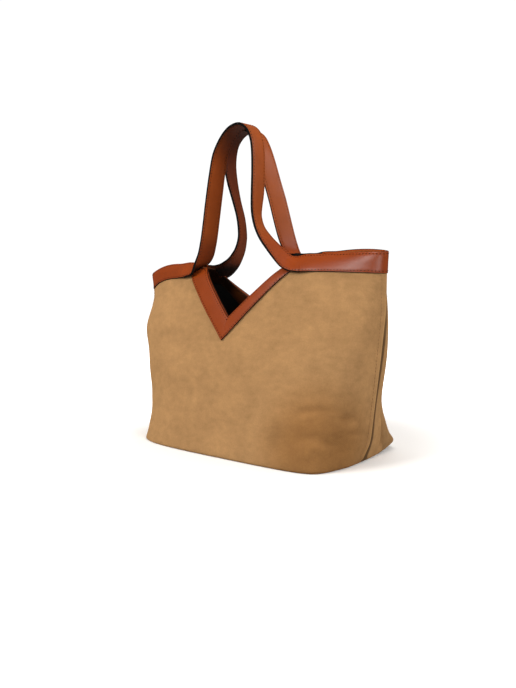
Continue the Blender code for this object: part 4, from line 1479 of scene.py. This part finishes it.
def pale_floor(scene):
    """Pale floor that fades to white away from the bag."""
    half = scene.tote_sizes.floor_size / 2
    corners = [(-half, -half, 0), (half, -half, 0), (half, half, 0), (-half, half, 0)]
    mesh = bpy.data.meshes.new("floor")
    mesh.from_pydata(corners, [], [(0, 1, 2, 3)])
    floor = add_object("floor", mesh)
    material, tree, shader = new_material("Pale floor", FLOOR_TONE, FLOOR_ROUGH)
    seen = put(tree, "ShaderNodeLightPath").outputs["Is Camera Ray"]
    place = put(tree, "ShaderNodeTexCoord").outputs["Object"]
    fade = spread(tree, distance(tree, place, (0, 0, 0)), *FLOOR_FADE, FLOOR_GLOW, 1.0)
    glow = calc(tree, "MULTIPLY", fade, seen)
    tone = mixed(tree, seen, FLOOR_LIT, FLOOR_SEEN, "RGBA")
    fill(tree, shader, {"Specular IOR Level": 0.1, "Base Color": tone,
                        "Emission Color": (1, 1, 1, 1), "Emission Strength": glow})
    mesh.materials.append(material)


def studio_camera(scene):
    """Camera at the picture's place, turned about the bag and rolled a little."""
    data = bpy.data.cameras.new("camera")
    data.sensor_fit = "VERTICAL"
    data.sensor_height = SENSOR
    data.lens = FOCAL_PIXELS * SENSOR / IMAGE_HEIGHT
    data.clip_start = 0.05
    camera = add_object("camera", data)
    look = CAMERA_TURN + CAMERA_YAW
    ahead = Vector((-math.sin(look) * math.cos(CAMERA_PITCH), math.cos(look) * math.cos(CAMERA_PITCH),
                    math.sin(CAMERA_PITCH)))
    level = Vector((math.cos(look), math.sin(look), 0))
    above = level.cross(ahead)
    right = level * math.cos(CAMERA_ROLL) + above * math.sin(CAMERA_ROLL)
    up = above * math.cos(CAMERA_ROLL) - level * math.sin(CAMERA_ROLL)
    place = (CAMERA_FAR * math.sin(CAMERA_TURN), -CAMERA_FAR * math.cos(CAMERA_TURN), CAMERA_HEIGHT)
    camera.matrix_world = Matrix.Translation(place) @ Matrix((right, up, -ahead)).transposed().to_4x4()
    scene.camera = camera


class TOTE_OT_stage(Operator):
    """Make the floor, the studio light and the camera"""

    bl_idname = "tote.stage"
    bl_label = "Stage"

    def execute(self, context):
        scene = context.scene
        pale_floor(scene)
        studio_world(scene)
        for row in SOFT_LIGHTS:
            area_light(*row, False)
        for row in GLEAM_LIGHTS:
            area_light(*row, True)
        scene.view_settings.view_transform = "Standard"
        studio_camera(scene)
        return {"FINISHED"}


class TOTE_PT_panel(Panel):
    """Sizes, colours and steps of the tote bag"""

    bl_idname = "TOTE_PT_panel"
    bl_label = "Tote Bag"
    bl_space_type = "VIEW_3D"
    bl_region_type = "UI"
    bl_category = "Tote Bag"

    def draw(self, context):
        layout = self.layout
        for group in (context.scene.tote_sizes, context.scene.tote_colours):
            column = layout.column(align=True)
            for name in group.bl_rna.properties.keys():
                if name not in ("rna_type", "name"):
                    column.prop(group, name)
        for step in STEPS:
            layout.operator(step.bl_idname)


STEPS = (
    TOTE_OT_cloth_panels,
    TOTE_OT_lining,
    TOTE_OT_top_bands,
    TOTE_OT_v_trims,
    TOTE_OT_handles,
    TOTE_OT_stitching,
    TOTE_OT_stage,
)
CLASSES = (ToteSizes, ToteColours) + STEPS + (TOTE_PT_panel,)


def register():
    for cls in CLASSES:
        bpy.utils.register_class(cls)
    bpy.types.Scene.tote_sizes = PointerProperty(type=ToteSizes)
    bpy.types.Scene.tote_colours = PointerProperty(type=ToteColours)


def unregister():
    del bpy.types.Scene.tote_colours
    del bpy.types.Scene.tote_sizes
    for cls in reversed(CLASSES):
        bpy.utils.unregister_class(cls)


def main():
    register()
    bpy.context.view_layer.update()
    bpy.ops.tote.cloth_panels()
    bpy.ops.tote.lining()
    bpy.ops.tote.top_bands()
    bpy.ops.tote.v_trims()
    bpy.ops.tote.handles()
    bpy.ops.tote.stitching()
    bpy.ops.tote.stage()
    bpy.context.view_layer.update()


if __name__ == "__main__":
    main()
